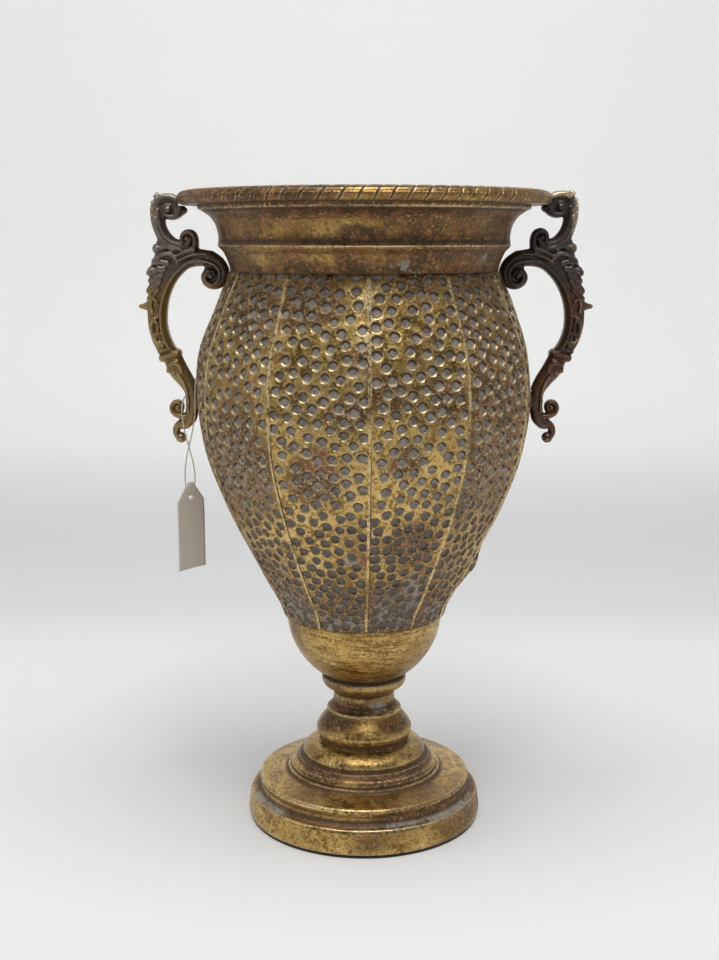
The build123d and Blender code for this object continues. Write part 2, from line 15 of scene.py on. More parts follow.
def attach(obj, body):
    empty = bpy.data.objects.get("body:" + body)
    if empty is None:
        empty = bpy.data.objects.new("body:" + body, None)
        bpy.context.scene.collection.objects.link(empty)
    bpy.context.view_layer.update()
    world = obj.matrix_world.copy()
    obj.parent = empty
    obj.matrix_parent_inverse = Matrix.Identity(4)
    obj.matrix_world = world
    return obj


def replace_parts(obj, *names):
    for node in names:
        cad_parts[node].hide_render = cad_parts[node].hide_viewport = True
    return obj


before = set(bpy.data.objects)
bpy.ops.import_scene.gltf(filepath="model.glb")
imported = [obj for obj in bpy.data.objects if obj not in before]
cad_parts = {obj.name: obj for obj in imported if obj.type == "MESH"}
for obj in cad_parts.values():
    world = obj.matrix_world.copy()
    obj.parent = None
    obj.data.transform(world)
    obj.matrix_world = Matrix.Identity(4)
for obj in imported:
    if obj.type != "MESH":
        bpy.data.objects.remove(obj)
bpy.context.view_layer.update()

# Camera
# A normal lens a little below the rim, level from side to side and tipped down by about ten degrees,
# as the vase was photographed.
LENS = 49.56
CAMERA_PLACE = (-0.0029, -0.8246, 0.3719)
CAMERA_TILT = math.radians(79.62)
scene = bpy.context.scene
scene.view_settings.view_transform = "Standard"
camera = bpy.data.objects.new("camera", bpy.data.cameras.new("camera"))
camera.data.lens = LENS
camera.location = CAMERA_PLACE
camera.rotation_euler = (CAMERA_TILT, 0.0, 0.0)
scene.collection.objects.link(camera)
scene.camera = camera

# Studio
# A pale paper sweep: flat under the vase and far behind it, then curved up into a wall, with a band of
# painted shade on the floor behind. Large soft lamps hang above and in front, and the room is dimmer
# than the paper.
PAPER_FLOOR = (0.7, 0.7, 0.695, 1.0)
PAPER_PAINTED_SHADE = (0.6, 0.605, 0.605, 1.0)
PAPER_WALL = (0.9, 0.9, 0.885, 1.0)
FLOOR_GLOW = (0.13, 0.13, 0.13, 1.0)
WALL_GLOW = (0.2, 0.2, 0.195, 1.0)
NO_GLOW = (0.0, 0.0, 0.0, 1.0)
PAINTED_SHADE_STARTS = (0.3, 0.52)
WALL_STARTS = (0.7, 1.8)
SWEEP_WIDTH = 20.0
SWEEP_FRONT = -3.0
SWEEP_BEND = 1.4
SWEEP_RADIUS = 0.4
SWEEP_TOP = 4.0
SWEEP_STEPS = 24
ROOM_COLOUR = (0.9, 0.92, 0.95, 1.0)
ROOM_LIGHT = 0.22
LAMP_AIM = (0.0, 0.0, 0.25)
LAMPS = [
    ("top_lamp", 18.0, (1.5, 1.2), (0.0, -0.35, 1.9), LAMP_AIM),
    ("key_lamp", 4.5, (0.35, 0.35), (0.05, -0.75, 1.7), LAMP_AIM),
    ("left_lamp", 2.8, (0.6, 1.2), (-1.6, -0.5, 0.9), LAMP_AIM),
    ("right_lamp", 1.8, (0.6, 1.2), (1.6, -0.4, 0.9), LAMP_AIM),
    ("wall_lamp", 15.0, (2.6, 0.6), (0.0, -0.2, 2.4), (0.0, 0.7, 0.9)),
]


def new_material(name):
    material = bpy.data.materials.new(name)
    material.use_nodes = True
    tree = material.node_tree
    return material, tree, tree.nodes["Principled BSDF"]


def feed(tree, node, values):
    """Set inputs of a node to their values, and link those that get a socket."""
    for key, value in values.items():
        if isinstance(value, bpy.types.NodeSocket):
            tree.links.new(value, node.inputs[key])
        else:
            node.inputs[key].default_value = value


def put(tree, kind, values=None, **settings):
    """New shader node with its settings and its inputs."""
    node = tree.nodes.new("ShaderNode" + kind)
    for key, value in settings.items():
        setattr(node, key, value)
    feed(tree, node, values or {})
    return node


def object_place(tree):
    return put(tree, "TexCoord").outputs["Object"]


def tint(tree, share, a, b):
    """Colour a, changing to colour b with the share."""
    return put(tree, "Mix", {0: share, 6: a, 7: b}, data_type="RGBA").outputs[2]


def maths(tree, operation, a, b=0.0):
    return put(tree, "Math", {0: a, 1: b}, operation=operation).outputs[0]


def step(tree, value, low, high):
    """Smooth rise from 0 to 1 as a value goes from low to high."""
    values = {0: value, 1: low, 2: high}
    return put(tree, "MapRange", values, interpolation_type="SMOOTHSTEP").outputs[0]


def mesh_piece(name, points, faces, material, **marks):
    """Smooth-shaded object of a mesh, with marks as point attributes that the materials read."""
    mesh = bpy.data.meshes.new(name)
    mesh.from_pydata(np.asarray(points).tolist(), [], [list(face) for face in faces])
    mesh.polygons.foreach_set("use_smooth", np.ones(len(mesh.polygons), dtype=bool))
    for label, values in marks.items():
        attribute = mesh.attributes.new(label, "FLOAT", "POINT")
        attribute.data.foreach_set("value", np.asarray(values, dtype=np.float32))
    mesh.materials.append(material)
    mesh.update()
    piece = bpy.data.objects.new(name, mesh)
    scene.collection.objects.link(piece)
    return piece


paper, tree, surface = new_material("sweep_paper")
back = put(tree, "SeparateXYZ", {0: object_place(tree)}).outputs["Y"]
far = step(tree, back, *WALL_STARTS)
# Painted shade: the paper darkens on the floor behind the vase, before the paler wall
paper_colour = tint(tree, step(tree, back, *PAINTED_SHADE_STARTS), PAPER_FLOOR, PAPER_PAINTED_SHADE)
ray = put(tree, "LightPath").outputs
seen_in_gloss = maths(tree, "MAXIMUM", ray["Is Glossy Ray"], ray["Is Transmission Ray"])
seen = maths(tree, "MAXIMUM", ray["Is Camera Ray"], seen_in_gloss)
feed(tree, surface, {
    "Base Color": tint(tree, far, paper_colour, PAPER_WALL),
    "Emission Color": tint(tree, seen, NO_GLOW, tint(tree, far, FLOOR_GLOW, WALL_GLOW)),
    "Emission Strength": 1.0,
    "Roughness": 0.9,
    "Specular IOR Level": 0.1,
})
line = [(SWEEP_FRONT, 0.0), (SWEEP_BEND, 0.0)]
for i in range(1, SWEEP_STEPS + 1):
    turn = math.pi / 2 * i / SWEEP_STEPS
    line.append((SWEEP_BEND + SWEEP_RADIUS * math.sin(turn), SWEEP_RADIUS * (1 - math.cos(turn))))
line.append((SWEEP_BEND + SWEEP_RADIUS, SWEEP_TOP))
sweep_points = [(side * SWEEP_WIDTH / 2, y, z) for y, z in line for side in (-1, 1)]
sweep_faces = [(2 * i, 2 * i + 1, 2 * i + 3, 2 * i + 2) for i in range(len(line) - 1)]
mesh_piece("paper_sweep", sweep_points, sweep_faces, paper)

for name, power, size, place, aim in LAMPS:
    lamp = bpy.data.objects.new(name, bpy.data.lights.new(name, "AREA"))
    lamp.data.energy = power
    lamp.data.shape = "RECTANGLE"
    lamp.data.size, lamp.data.size_y = size
    lamp.location = place
    lamp.rotation_euler = (Vector(aim) - Vector(place)).to_track_quat("-Z", "Y").to_euler()
    scene.collection.objects.link(lamp)

room = bpy.data.worlds.new("room")
room.use_nodes = True
scene.world = room
feed(room.node_tree, room.node_tree.nodes["Background"], {"Color": ROOM_COLOUR, "Strength": ROOM_LIGHT})

# Foot pad
# A thin ring of black pressed felt.
# It is glued under the foot so that the metal doesn't scratch a table.
MM = 0.001
ROUND_STEPS = 5
LONGEST_RUN = 1.6
SHORTEST_RUN = 0.05
TURN_STEPS = 180
EDGE_WEAR = 1.1
MOST_WEAR = 0.9
CORNER_GRIME = 1.6
SLIGHT_TURN = 0.05
DIRT_GRIME = 0.85
# Waves round a turned piece as (amount, waves round, millimetres of height to a radian)
UNEVEN_WAVES = [(1.0, 3, 9), (0.6, 7, -5), (0.4, 17, 3)]
PATCHY_WAVES = [(0.3, 2, 4), (0.25, 5, -1)]
PATCHY_MEAN = 0.75
LEAST_PATCHY = 0.2
FELT_DARK = (0.008, 0.008, 0.009, 1.0)
FELT_PALE = (0.05, 0.048, 0.045, 1.0)
# Corners of an outline as (radius, height, rounding), anticlockwise
PAD = [(60.5, 0.0, 0.5), (74.5, 0.0, 0.5), (74.5, 2.0, 0.3), (60.5, 2.0, 0.3)]


def noise(tree, place, scale, detail=3.0, roughness=0.55):
    values = {"Vector": place, "Scale": scale, "Detail": detail, "Roughness": roughness}
    return put(tree, "TexNoise", values).outputs[0]


def rough_bump(tree, surface, height, strength, depth):
    bump = put(tree, "Bump", {"Height": height, "Strength": strength, "Distance": depth})
    tree.links.new(bump.outputs[0], surface.inputs["Normal"])


def moulding(corners):
    """Closed outline of (radius, height) from corners with a rounding each, and its turn per millimetre."""
    corners = np.array(corners, dtype=float)
    outline = []
    for i, (r, z, cut) in enumerate(corners):
        here = np.array([r, z])
        before, after = corners[i - 1][:2] - here, corners[(i + 1) % len(corners)][:2] - here
        start = here + before * min(cut / np.hypot(*before), 0.5)
        end = here + after * min(cut / np.hypot(*after), 0.5)
        for t in np.linspace(0.0, 1.0, ROUND_STEPS) if cut else [0.5]:
            outline.append((1 - t) ** 2 * start + 2 * t * (1 - t) * here + t**2 * end)
    filled = []
    for here, after in zip(outline, outline[1:] + outline[:1]):
        runs = max(1, math.ceil(np.hypot(*(after - here)) / LONGEST_RUN))
        filled += [here + (after - here) * k / runs for k in range(runs)]
    filled = np.array(filled)
    ahead = np.roll(filled, -1, axis=0) - filled
    behind = filled - np.roll(filled, 1, axis=0)
    lengths = (np.hypot(*ahead.T) + np.hypot(*behind.T)) / 2
    cross = behind[:, 0] * ahead[:, 1] - behind[:, 1] * ahead[:, 0]
    turn = np.arctan2(cross, (behind * ahead).sum(1)) / np.maximum(lengths, SHORTEST_RUN)
    return filled, turn


def ring_faces(count, around):
    """Faces of a grid that closes both ways, from points in so many rows with so many in each row."""
    i, k = np.meshgrid(np.arange(count), np.arange(around), indexing="ij")
    row, next_row = i * around, (i + 1) % count * around
    on = (k + 1) % around
    return np.stack([row + k, row + on, next_row + on, next_row + k], axis=-1).reshape(-1, 4)


def waves_round(waves, angles, z, mean=0.0):
    return sum((amount * np.sin(count * angles + z / climb) for amount, count, climb in waves), mean)


def turned_piece(name, corners, material, wobble=0.12, dirt=(), bare=(), brown=()):
    """Lathe-turned piece, bright where its outline is convex and grimy where it is hollow.

    Dirt is listed as (height, spread), and bare metal and brown as (height, spread, degrees from +X, spread,
    amount).
    """
    outline, turn = moulding(corners)
    angles = np.linspace(0.0, 2 * math.pi, TURN_STEPS, endpoint=False)
    r, z = outline[:, :1], outline[:, 1:]
    r = r + wobble * waves_round(UNEVEN_WAVES, angles, z) / 2
    points = np.stack([r * np.cos(angles), r * np.sin(angles), z + 0 * angles], axis=-1)
    wear = np.clip(turn * EDGE_WEAR - SLIGHT_TURN, 0.0, MOST_WEAR)
    hollow = np.clip(-turn * CORNER_GRIME - SLIGHT_TURN, 0.0, 1.0)
    iron, stain = np.zeros((2, len(outline), TURN_STEPS))
    for mask, listed in ((iron, bare), (stain, brown)):
        for height, spread, degrees, width, amount in listed:
            aside = (np.degrees(angles) - degrees + 180) % 360 - 180
            patch = amount * np.exp(-(((z - height) / spread) ** 4) - (aside / width) ** 4)
            np.maximum(mask, patch, out=mask)
    for height, spread in dirt:
        hollow = np.maximum(hollow, DIRT_GRIME * np.exp(-(((outline[:, 1] - height) / spread) ** 2)))
    patchy = np.clip(waves_round(PATCHY_WAVES, angles, z, PATCHY_MEAN), LEAST_PATCHY, 1.0)
    return mesh_piece(name, points.reshape(-1, 3) * MM, ring_faces(len(outline), TURN_STEPS), material,
                      wear=(wear[:, None] * patchy).reshape(-1), hollow=np.repeat(hollow, TURN_STEPS),
                      iron=iron.reshape(-1), stain=stain.reshape(-1))


felt, tree, surface = new_material("black_felt")
fibre = noise(tree, object_place(tree), 900.0, 6.0, 0.8)
felt_colour = tint(tree, fibre, FELT_DARK, FELT_PALE)
feed(tree, surface, {"Base Color": felt_colour, "Roughness": 0.95, "Sheen Weight": 0.3})
rough_bump(tree, surface, fibre, 0.8, 0.0006)
foot_pad = turned_piece("felt_pad", PAD, felt)
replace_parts(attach(foot_pad, "urn"), "foot_pad")

# Foot
# A stepped round foot of spun sheet: an upright wall, a fascia, a broad shoulder and two beads. It is
# covered in gold leaf that was rubbed back on the edges and stained brown. Grey iron shows where it is gone.
LEAF_LIGHT = (0.66, 0.44, 0.14, 1.0)
LEAF_DEEP = (0.22, 0.125, 0.036, 1.0)
LEAF_RUBBED_AND_HIGHLIGHT = (0.86, 0.71, 0.42, 1.0)
LEAF_FLECK = (0.8, 0.58, 0.24, 1.0)
DEEP_BROWN = (0.075, 0.04, 0.018, 1.0)
RED_BROWN = (0.24, 0.092, 0.034, 1.0)
GRIME_AND_SHADE = (0.045, 0.026, 0.015, 1.0)
IRON_DARK = (0.21, 0.172, 0.134, 1.0)
IRON_LIGHT = (0.43, 0.375, 0.305, 1.0)
STROKE_SQUASH = (0.07, 0.07, 1.0)
VARNISH = {"Coat Weight": 0.15, "Coat Roughness": 0.22}
LEAF_RELIEF = 0.0007
FOOT = [
    (61.0, 2.0, 0.0), (75.0, 2.0, 0.6), (75.8, 4.6, 1.6), (74.4, 15.4, 1.2), (73.4, 17.4, 0.8),
    (71.0, 17.6, 0.8), (67.9, 19.6, 1.2), (67.3, 23.4, 1.0), (68.3, 26.4, 0.8), (67.0, 28.0, 0.9),
    (58.0, 29.4, 3.0), (50.8, 30.4, 1.2), (49.4, 32.4, 0.8), (47.4, 33.0, 0.5), (47.6, 34.6, 0.7),
    (46.2, 37.0, 0.9), (43.4, 38.2, 0.8), (42.2, 40.0, 0.7), (39.4, 41.0, 0.4), (39.8, 43.0, 1.0),
    (38.6, 45.4, 1.7), (35.8, 47.9, 1.5), (33.6, 49.0, 0.7), (31.0, 49.6, 0.3), (4.3, 49.6, 0.0),
    (4.3, 44.0, 0.0), (31.5, 44.0, 1.0), (45.6, 29.6, 1.0), (65.4, 25.0, 1.0), (65.4, 17.3, 0.6),
    (70.8, 14.3, 0.6), (72.8, 4.5, 0.0), (61.0, 4.5, 0.0),
]
FOOT_DIRT = [(19.4, 1.6), (31.6, 0.8), (40.2, 0.8)]
FOOT_BARE = [(18.3, 1.5, -52.0, 36.0, 0.6), (18.6, 1.7, -152.0, 22.0, 0.52), (18.4, 1.3, 80.0, 50.0, 0.55)]
FOOT_BROWN = [(24.0, 3.0, -45.0, 30.0, 0.7), (37.0, 3.0, -62.0, 30.0, 0.7), (37.0, 3.0, -128.0, 20.0, 0.6)]


def weighed(tree, base, *parts):
    """Number base plus each (socket, share) pair."""
    result = base
    for socket, share in parts:
        node = put(tree, "Math", {0: socket, 1: share, 2: result}, operation="MULTIPLY_ADD")
        result = node.outputs[0]
    return result


def blend(tree, share, a, b):
    """Number a, changing to number b with the share."""
    return put(tree, "Mix", {0: share, 2: a, 3: b}).outputs[0]


def mark(tree, name):
    return put(tree, "Attribute", attribute_name=name).outputs["Fac"]


leaf_group = bpy.data.node_groups.new("aged_leaf", "ShaderNodeTree")
for label, value in (("Brown", 0.0), ("Streak", 0.0), ("Speckle", 0.0), ("Flecks", 0.65)):
    socket = leaf_group.interface.new_socket(label, in_out="INPUT", socket_type="NodeSocketFloat")
    socket.default_value = value
for label, kind in (("Color", "Color"), ("Roughness", "Float"), ("Metallic", "Float"), ("Height", "Float")):
    leaf_group.interface.new_socket(label, in_out="OUTPUT", socket_type="NodeSocket" + kind)
tree = leaf_group
given = tree.nodes.new("NodeGroupInput").outputs
place = object_place(tree)
level = put(tree, "Mapping", {"Vector": place, "Scale": STROKE_SQUASH}).outputs[0]
# Marks read from the pieces; some carry painted highlights and painted shade as well as wear, grime and
# stains
wear, hollow, iron, stained = (mark(tree, name) for name in ("wear", "hollow", "iron", "stain"))
patch = noise(tree, place, 22.0, 4.0, 0.6)
mottle = noise(tree, place, 95.0, 4.0, 0.65)
fleck = noise(tree, place, 480.0, 3.0, 0.65)
strokes = noise(tree, level, 1300.0, 2.0, 0.7)
grain = blend(tree, given["Streak"], noise(tree, place, 700.0, 2.0, 0.7), strokes)
texture = blend(tree, given["Streak"], mottle, noise(tree, level, 420.0, 4.0, 0.65))
speckle = blend(tree, given["Speckle"], noise(tree, place, 260.0, 3.0, 0.6), grain)
tone = weighed(tree, 0.0, (texture, 0.35), (fleck, 0.25), (speckle, 0.4))
coarse = weighed(tree, 0.0, (speckle, 0.6), (mottle, 0.4))
cloudy = weighed(tree, 0.0, (fleck, 0.5), (mottle, 0.5))
leaf = tint(tree, step(tree, tone, 0.44, 0.545), LEAF_DEEP, LEAF_LIGHT)
leaf = tint(tree, step(tree, coarse, 0.55, 0.63), leaf, LEAF_RUBBED_AND_HIGHLIGHT)
browned = weighed(tree, 0.0, (patch, 0.28), (texture, 0.2), (fleck, 0.22), (speckle, 0.32),
                  (given["Brown"], 0.2), (stained, 0.2), (hollow, 0.14), (wear, -0.08))
stain = step(tree, browned, 0.54, 0.59)
brown_colour = tint(tree, step(tree, cloudy, 0.45, 0.58), DEEP_BROWN, RED_BROWN)
# Brown stain, with the painted shade of the side panels and of the collar
colour = tint(tree, maths(tree, "MULTIPLY", stain, 0.9), leaf, brown_colour)
flecks = step(tree, weighed(tree, 0.0, (fleck, 0.4), (grain, 0.6)), 0.55, 0.615)
colour = tint(tree, maths(tree, "MULTIPLY", flecks, given["Flecks"]), colour, LEAF_FLECK)
broken = step(tree, weighed(tree, 0.0, (fleck, 0.5), (grain, 0.5)), 0.4, 0.56)
brightened = maths(tree, "MULTIPLY", wear, broken)
# Rubbed leaf, with the painted highlights of the punch marks and the rope
colour = tint(tree, brightened, colour, LEAF_RUBBED_AND_HIGHLIGHT)
bare = step(tree, weighed(tree, -0.62, (iron, 0.55), (mottle, 0.6), (fleck, 0.6), (grain, 0.4)), 0.3, 0.5)
colour = tint(tree, bare, colour, tint(tree, step(tree, cloudy, 0.4, 0.6), IRON_DARK, IRON_LIGHT))
# Grime in the hollows, with the painted shade on the upper walls of the punch marks
grime_and_shade = weighed(tree, 0.0, (fleck, 0.5), (mottle, 0.4), (grain, 0.3), (hollow, 0.4), (bare, -0.05))
grime_and_shade = maths(tree, "MULTIPLY", hollow, step(tree, grime_and_shade, 0.74, 0.95))
feed(tree, tree.nodes.new("NodeGroupOutput"), {
    "Color": tint(tree, maths(tree, "MULTIPLY", grime_and_shade, 0.9), colour, GRIME_AND_SHADE),
    "Roughness": weighed(tree, 0.22, (stain, 0.16), (tone, 0.3), (grime_and_shade, 0.2), (bare, 0.16)),
    "Metallic": weighed(tree, 1.0, (stain, -0.3), (grime_and_shade, -0.5), (bare, -0.3), (brightened, -0.35)),
    "Height": weighed(tree, 0.0, (texture, 0.4), (fleck, 0.4), (speckle, 0.35), (stain, 0.25)),
})


def leaf_material(name, brown, streak, speckle, bump, flecks=0.65):
    """Varnished leaf with its shares of brown stain, level streaks, fine speckle and bright flecks."""
    material, tree, surface = new_material(name)
    shares = {"Brown": brown, "Streak": streak, "Speckle": speckle, "Flecks": flecks}
    leaf = put(tree, "Group", node_tree=leaf_group)
    feed(tree, leaf, shares)
    looks = {"Base Color": leaf.outputs["Color"]}
    looks.update({label: leaf.outputs[label] for label in ("Roughness", "Metallic")})
    feed(tree, surface, {**looks, **VARNISH})
    rough_bump(tree, surface, leaf.outputs["Height"], bump, LEAF_RELIEF)
    return material


foot_leaf = leaf_material("foot_leaf", brown=0.14, streak=0.25, speckle=0.5, bump=0.5)
foot = turned_piece("stepped_foot", FOOT, foot_leaf, dirt=FOOT_DIRT, bare=FOOT_BARE, brown=FOOT_BROWN)
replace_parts(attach(foot, "urn"), "foot")

# Stem
# Three turned pieces that the rod inside clamps between foot and bowl: a bulb with a low crest, a narrow
# neck with a thin lip, and a ring that is dished to take the bowl. Their leaf is darker in the hollows.
BULB = [
    (10.0, 65.0, 0.0), (26.2, 57.0, 1.0), (26.2, 49.6, 0.0), (29.0, 49.6, 0.3), (28.9, 52.6, 1.0),
    (30.4, 54.8, 0.8), (31.2, 57.8, 1.6), (29.0, 62.6, 2.4), (25.2, 67.0, 2.0), (23.4, 70.0, 0.4),
    (10.0, 70.0, 0.0),
]
NECK = [
    (10.0, 70.0, 0.0), (23.7, 70.0, 0.3), (24.3, 70.6, 0.4), (23.9, 71.6, 0.4), (21.2, 73.2, 1.5),
    (19.8, 76.8, 1.6), (19.7, 82.0, 0.0), (10.0, 82.0, 0.0),
]
DISHED_RING = [
    (4.3, 82.0, 0.0), (19.7, 82.0, 0.3), (21.4, 84.2, 1.2), (25.9, 87.2, 1.6), (27.3, 90.4, 1.3),
    (27.2, 92.6, 1.0), (25.9, 94.2, 0.5), (20.0, 91.2, 0.3), (20.0, 91.4, 0.0), (4.3, 91.4, 0.0),
]
STEM_DIRT = [(51.6, 1.3), (75.0, 1.6), (83.0, 1.0), (93.6, 1.0)]
STEM_BARE = [(76.6, 4.0, -61.0, 18.0, 0.56), (76.0, 3.0, 130.0, 25.0, 0.6)]
STEM_BROWN = [
    (66.0, 4.5, -135.0, 34.0, 0.5), (65.0, 4.0, -42.0, 26.0, 0.55), (52.0, 2.5, -90.0, 40.0, 0.5),
    (75.0, 4.0, -112.0, 24.0, 0.6), (66.0, 4.0, 70.0, 40.0, 0.6),
]
STEM_PIECES = [
    ("stem_swelling", "stem_bulb", BULB), ("stem_waist", "stem_neck", NECK),
    ("bowl_ring", "neck_ring", DISHED_RING),
]
stem_leaf = leaf_material("stem_leaf", brown=0.22, streak=0.3, speckle=0.45, bump=0.65)
for name, node, corners in STEM_PIECES:
    piece = turned_piece(name, corners, stem_leaf, 0.08, STEM_DIRT, STEM_BARE, STEM_BROWN)
    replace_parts(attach(piece, "urn"), node)

# Bowl
# A spun cup of sheet that carries the panels. The rod inside clamps it onto the ring of the stem.
# Its leaf is brushed round it in fine level strokes.
BOWL_RADIUS = 49.7
BOWL_SHEET = 1.2
BOWL_CENTRE = 137.0
BOWL_STEPS = 16


def bowl_line(radius, first, last):
    """Corners on a ball of that radius round the bowl's centre, from one depth below it to another."""
    depths = np.linspace(first, last, BOWL_STEPS)
    return [((radius**2 - d**2) ** 0.5, BOWL_CENTRE - d, 0.0) for d in depths]


BOWL = (
    [(4.3, 91.5, 0.0)] + bowl_line(BOWL_RADIUS, 45.4, 4.0) + [(49.5, 141.0, 0.0), (48.3, 141.0, 0.0)]
    + bowl_line(BOWL_RADIUS - BOWL_SHEET, 4.0, 44.3) + [(4.3, 92.7, 0.0)]
)
bowl_leaf = leaf_material("bowl_leaf", brown=0.09, streak=0.8, speckle=0.7, bump=0.4)
bowl = turned_piece("spun_bowl", BOWL, bowl_leaf, 0.1, dirt=[(94.0, 3.0), (135.6, 1.0)])
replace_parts(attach(bowl, "urn"), "bowl")

# Panels
# Eleven gores of sheet iron, punched by hand with a round flat punch and then brazed edge to edge. Leaf
# covers the land between the marks, their floors are bare and grey, and their lips are rubbed bright. Each
# mark has a painted highlight on its lower wall and painted shade on its upper wall, and the side panels
# carry broad painted shade.
PANEL_COUNT = 11
FIRST_SEAM = math.radians(-88.4)
PANEL_PITCH = 2 * math.pi / PANEL_COUNT
PANEL_FOOT = 133.0
PANEL_START = 3.0
PANEL_SWELL = 0.7
PANEL_SHEET = 1.2
PANEL_GAP = 0.2
STATION_HEIGHTS = np.array([0.0, 9.0, 27.0, 52.0, 82.0, 115.0, 146.0, 172.0, 198.0, 219.0])
STATION_RADII = np.array([51.04, 53.8, 64.2, 77.6, 91.6, 102.4, 105.1, 101.9, 91.9, 82.4])
STATION_FLATNESS = np.array([0.0, 0.15, 0.55, 0.65, 0.65, 0.65, 0.6, 0.5, 0.3, 0.0])
MOST_FLATNESS = 0.9
PANEL_SEED = 40
LINE_STEPS = 600
# Punch marks
PUNCH_RADIUS = 2.95
PUNCH_DEPTH = 1.05
PUNCH_LIP = 0.2
PUNCH_MARGIN = 3.4
PUNCH_ENDS = (1.5, 1.0)
PUNCH_RADIUS_SPREAD = (0.93, 1.07)
PUNCH_DEPTH_SPREAD = (0.8, 1.15)
PUNCH_TRIES = 6000
PUNCH_SPACING_AT = (0.0, 30.0, 65.0, 110.0)
PUNCH_SPACING = (5.0, 5.4, 6.0, 6.5, 6.7)
SPREAD_ROUNDS = 14
SPREAD_REACH = 1.32
SPREAD_PUSH = 0.09
PUNCH_SCATTER = 0.22
BACK_OF_MARK = 0.85
# Mesh: rings round each mark as (share of its radius, points), then rows on the land and along the edges
PUNCH_RINGS = ((0.45, 7), (0.72, 15), (0.82, 15), (0.93, 16), (1.03, 16), (1.14, 16), (1.32, 16))
LAND_MESH = 2.6
LAND_CLEAR = 1.55
EDGE_MESH = 1.5
EDGE_ROWS = (0.5, 1.1)
EDGE_ROW_CLEAR = 1.4
EDGE_CLEAR = 0.25
RING_TURN = 2.0
RING_EDGE = 0.98
RING_CLEAR = 0.02
SNAP = 1e-5
# Rings round a mark as shares of its radius, each with the pair it rises over and the pair it falls over
SINK_EDGE = (1.06, 0.74)
FLOOR_EDGE = (0.9, 0.76)
LIP_RING = ((1.0, 1.14), (1.4, 1.16))
WALL_RING = ((0.64, 0.8), (0.98, 0.86))
# The slant ring takes the painted highlight, and the upper wall ring the painted shade
SLANT_RING = ((0.68, 0.78), (1.1, 1.0))
UPPER_WALL_RING = ((0.5, 0.74), (1.08, 1.0))
# Low waves of the sheet, flat towards the seams and the ends
WAVE_HEIGHT = 0.35
WAVE_ACROSS = 8.0
WAVE_ALONG = 11.0
LONG_WAVE_HEIGHT = 0.25
LONG_WAVE_ALONG = 23.0
WAVE_BY_SEAM = (-1.0, 7.0)
WAVE_BY_FOOT = (0.0, 30.0)
WAVE_BY_TOP = 20.0
BUMP_BY_SEAM = (0.0, 5.0)
# Levels along the gore, and distances from the seam, over which the marks of age, the painted highlights
# and the painted shade come and go
CRESCENT_LEVELS = (75.0, 115.0)
OUTLINE_LEVELS = (140.0, 70.0)
SHADE_LEVELS = (55.0, 110.0)
DULL_LEVELS = (135.0, 80.0)
FOOT_STAIN_LEVELS = (80.0, 25.0)
CRACK_LEVELS = (130.0, 95.0)
FLAT_BY_SEAM = (0.0, 1.2)
WORN_BY_SEAM = (1.5, 0.4)
DARK_BY_SEAM = (0.9, 0.2)
DARK_BY_TOP = (5.0, 0.5)
# Places below the middle of a mark, in radii, where its wall gets the painted highlight and where it gets
# the painted shade
CRESCENT_BELOW = (-0.05, 0.45)
SHADE_BELOW = (0.15, -0.35)
# Amounts of the marks of age
LIP_WEAR = 0.35
EDGE_BY_SEAM_WEAR = 0.3
OUTLINE_GRIME = 0.55
OUTLINE_GRIME_BELOW = 0.35
FLOOR_GRIME = 0.8
TOP_GRIME = 0.45
SEAM_GRIME = 0.25
FOOT_STAIN = 0.35
INSIDE_MARKS = {"wear": 0.0, "hollow": 0.35, "iron": 0.0, "stain": 0.5}
# Bulges and dents as (panel, across, along, size, lift)
PANEL_BUMPS = [(2, -8.0, 62.0, 8.0, -1.6), (2, -10.0, 42.0, 10.0, 3.0), (8, -4.0, 175.0, 26.0, 1.0)]
# Stains, bright patches and bare patches as (panel, across, height, size, amount). The stains table also
# holds broad painted shade over the side panels
PANEL_STAINS_AND_SHADE = [
    (10, -9.0, 338.0, 14.0, 1.25), (10, 25.0, 307.0, 6.5, 1.3), (10, 18.0, 278.0, 8.0, 1.2),
    (10, -3.0, 238.0, 12.0, 1.15), (0, -20.0, 287.0, 8.5, 1.25), (0, 17.0, 281.0, 9.0, 1.05),
    (0, -8.0, 250.0, 8.0, 1.1), (0, 2.0, 196.0, 12.0, 1.05), (0, -4.0, 168.0, 8.0, 0.7),
    (0, 6.0, 348.0, 9.0, 0.6), (9, 4.0, 330.0, 22.0, 0.5), (9, -4.0, 240.0, 36.0, 0.62),
    # Painted shade: the wide patches at height 280 darken the side panels 8, 2, 9 and 1
    (1, 2.0, 310.0, 24.0, 0.4), (1, 8.0, 230.0, 20.0, 0.45), (8, 0.0, 280.0, 60.0, 0.5),
    (2, 0.0, 280.0, 60.0, 0.5), (9, 0.0, 280.0, 120.0, 0.17), (1, 0.0, 280.0, 120.0, 0.34),
    (4, 5.0, 300.0, 18.0, 0.8), (5, -6.0, 220.0, 16.0, 0.8), (6, 4.0, 320.0, 15.0, 0.7),
    (7, -4.0, 260.0, 14.0, 0.7),
]
PANEL_BRIGHT = [
    (10, 25.0, 338.0, 7.0, 0.6), (10, 26.0, 318.0, 6.0, 0.6), (0, -26.0, 326.0, 5.0, 0.5),
    (0, -24.0, 344.0, 5.0, 0.4), (10, 26.0, 296.0, 5.0, 0.4), (5, 20.0, 320.0, 7.0, 0.5),
]
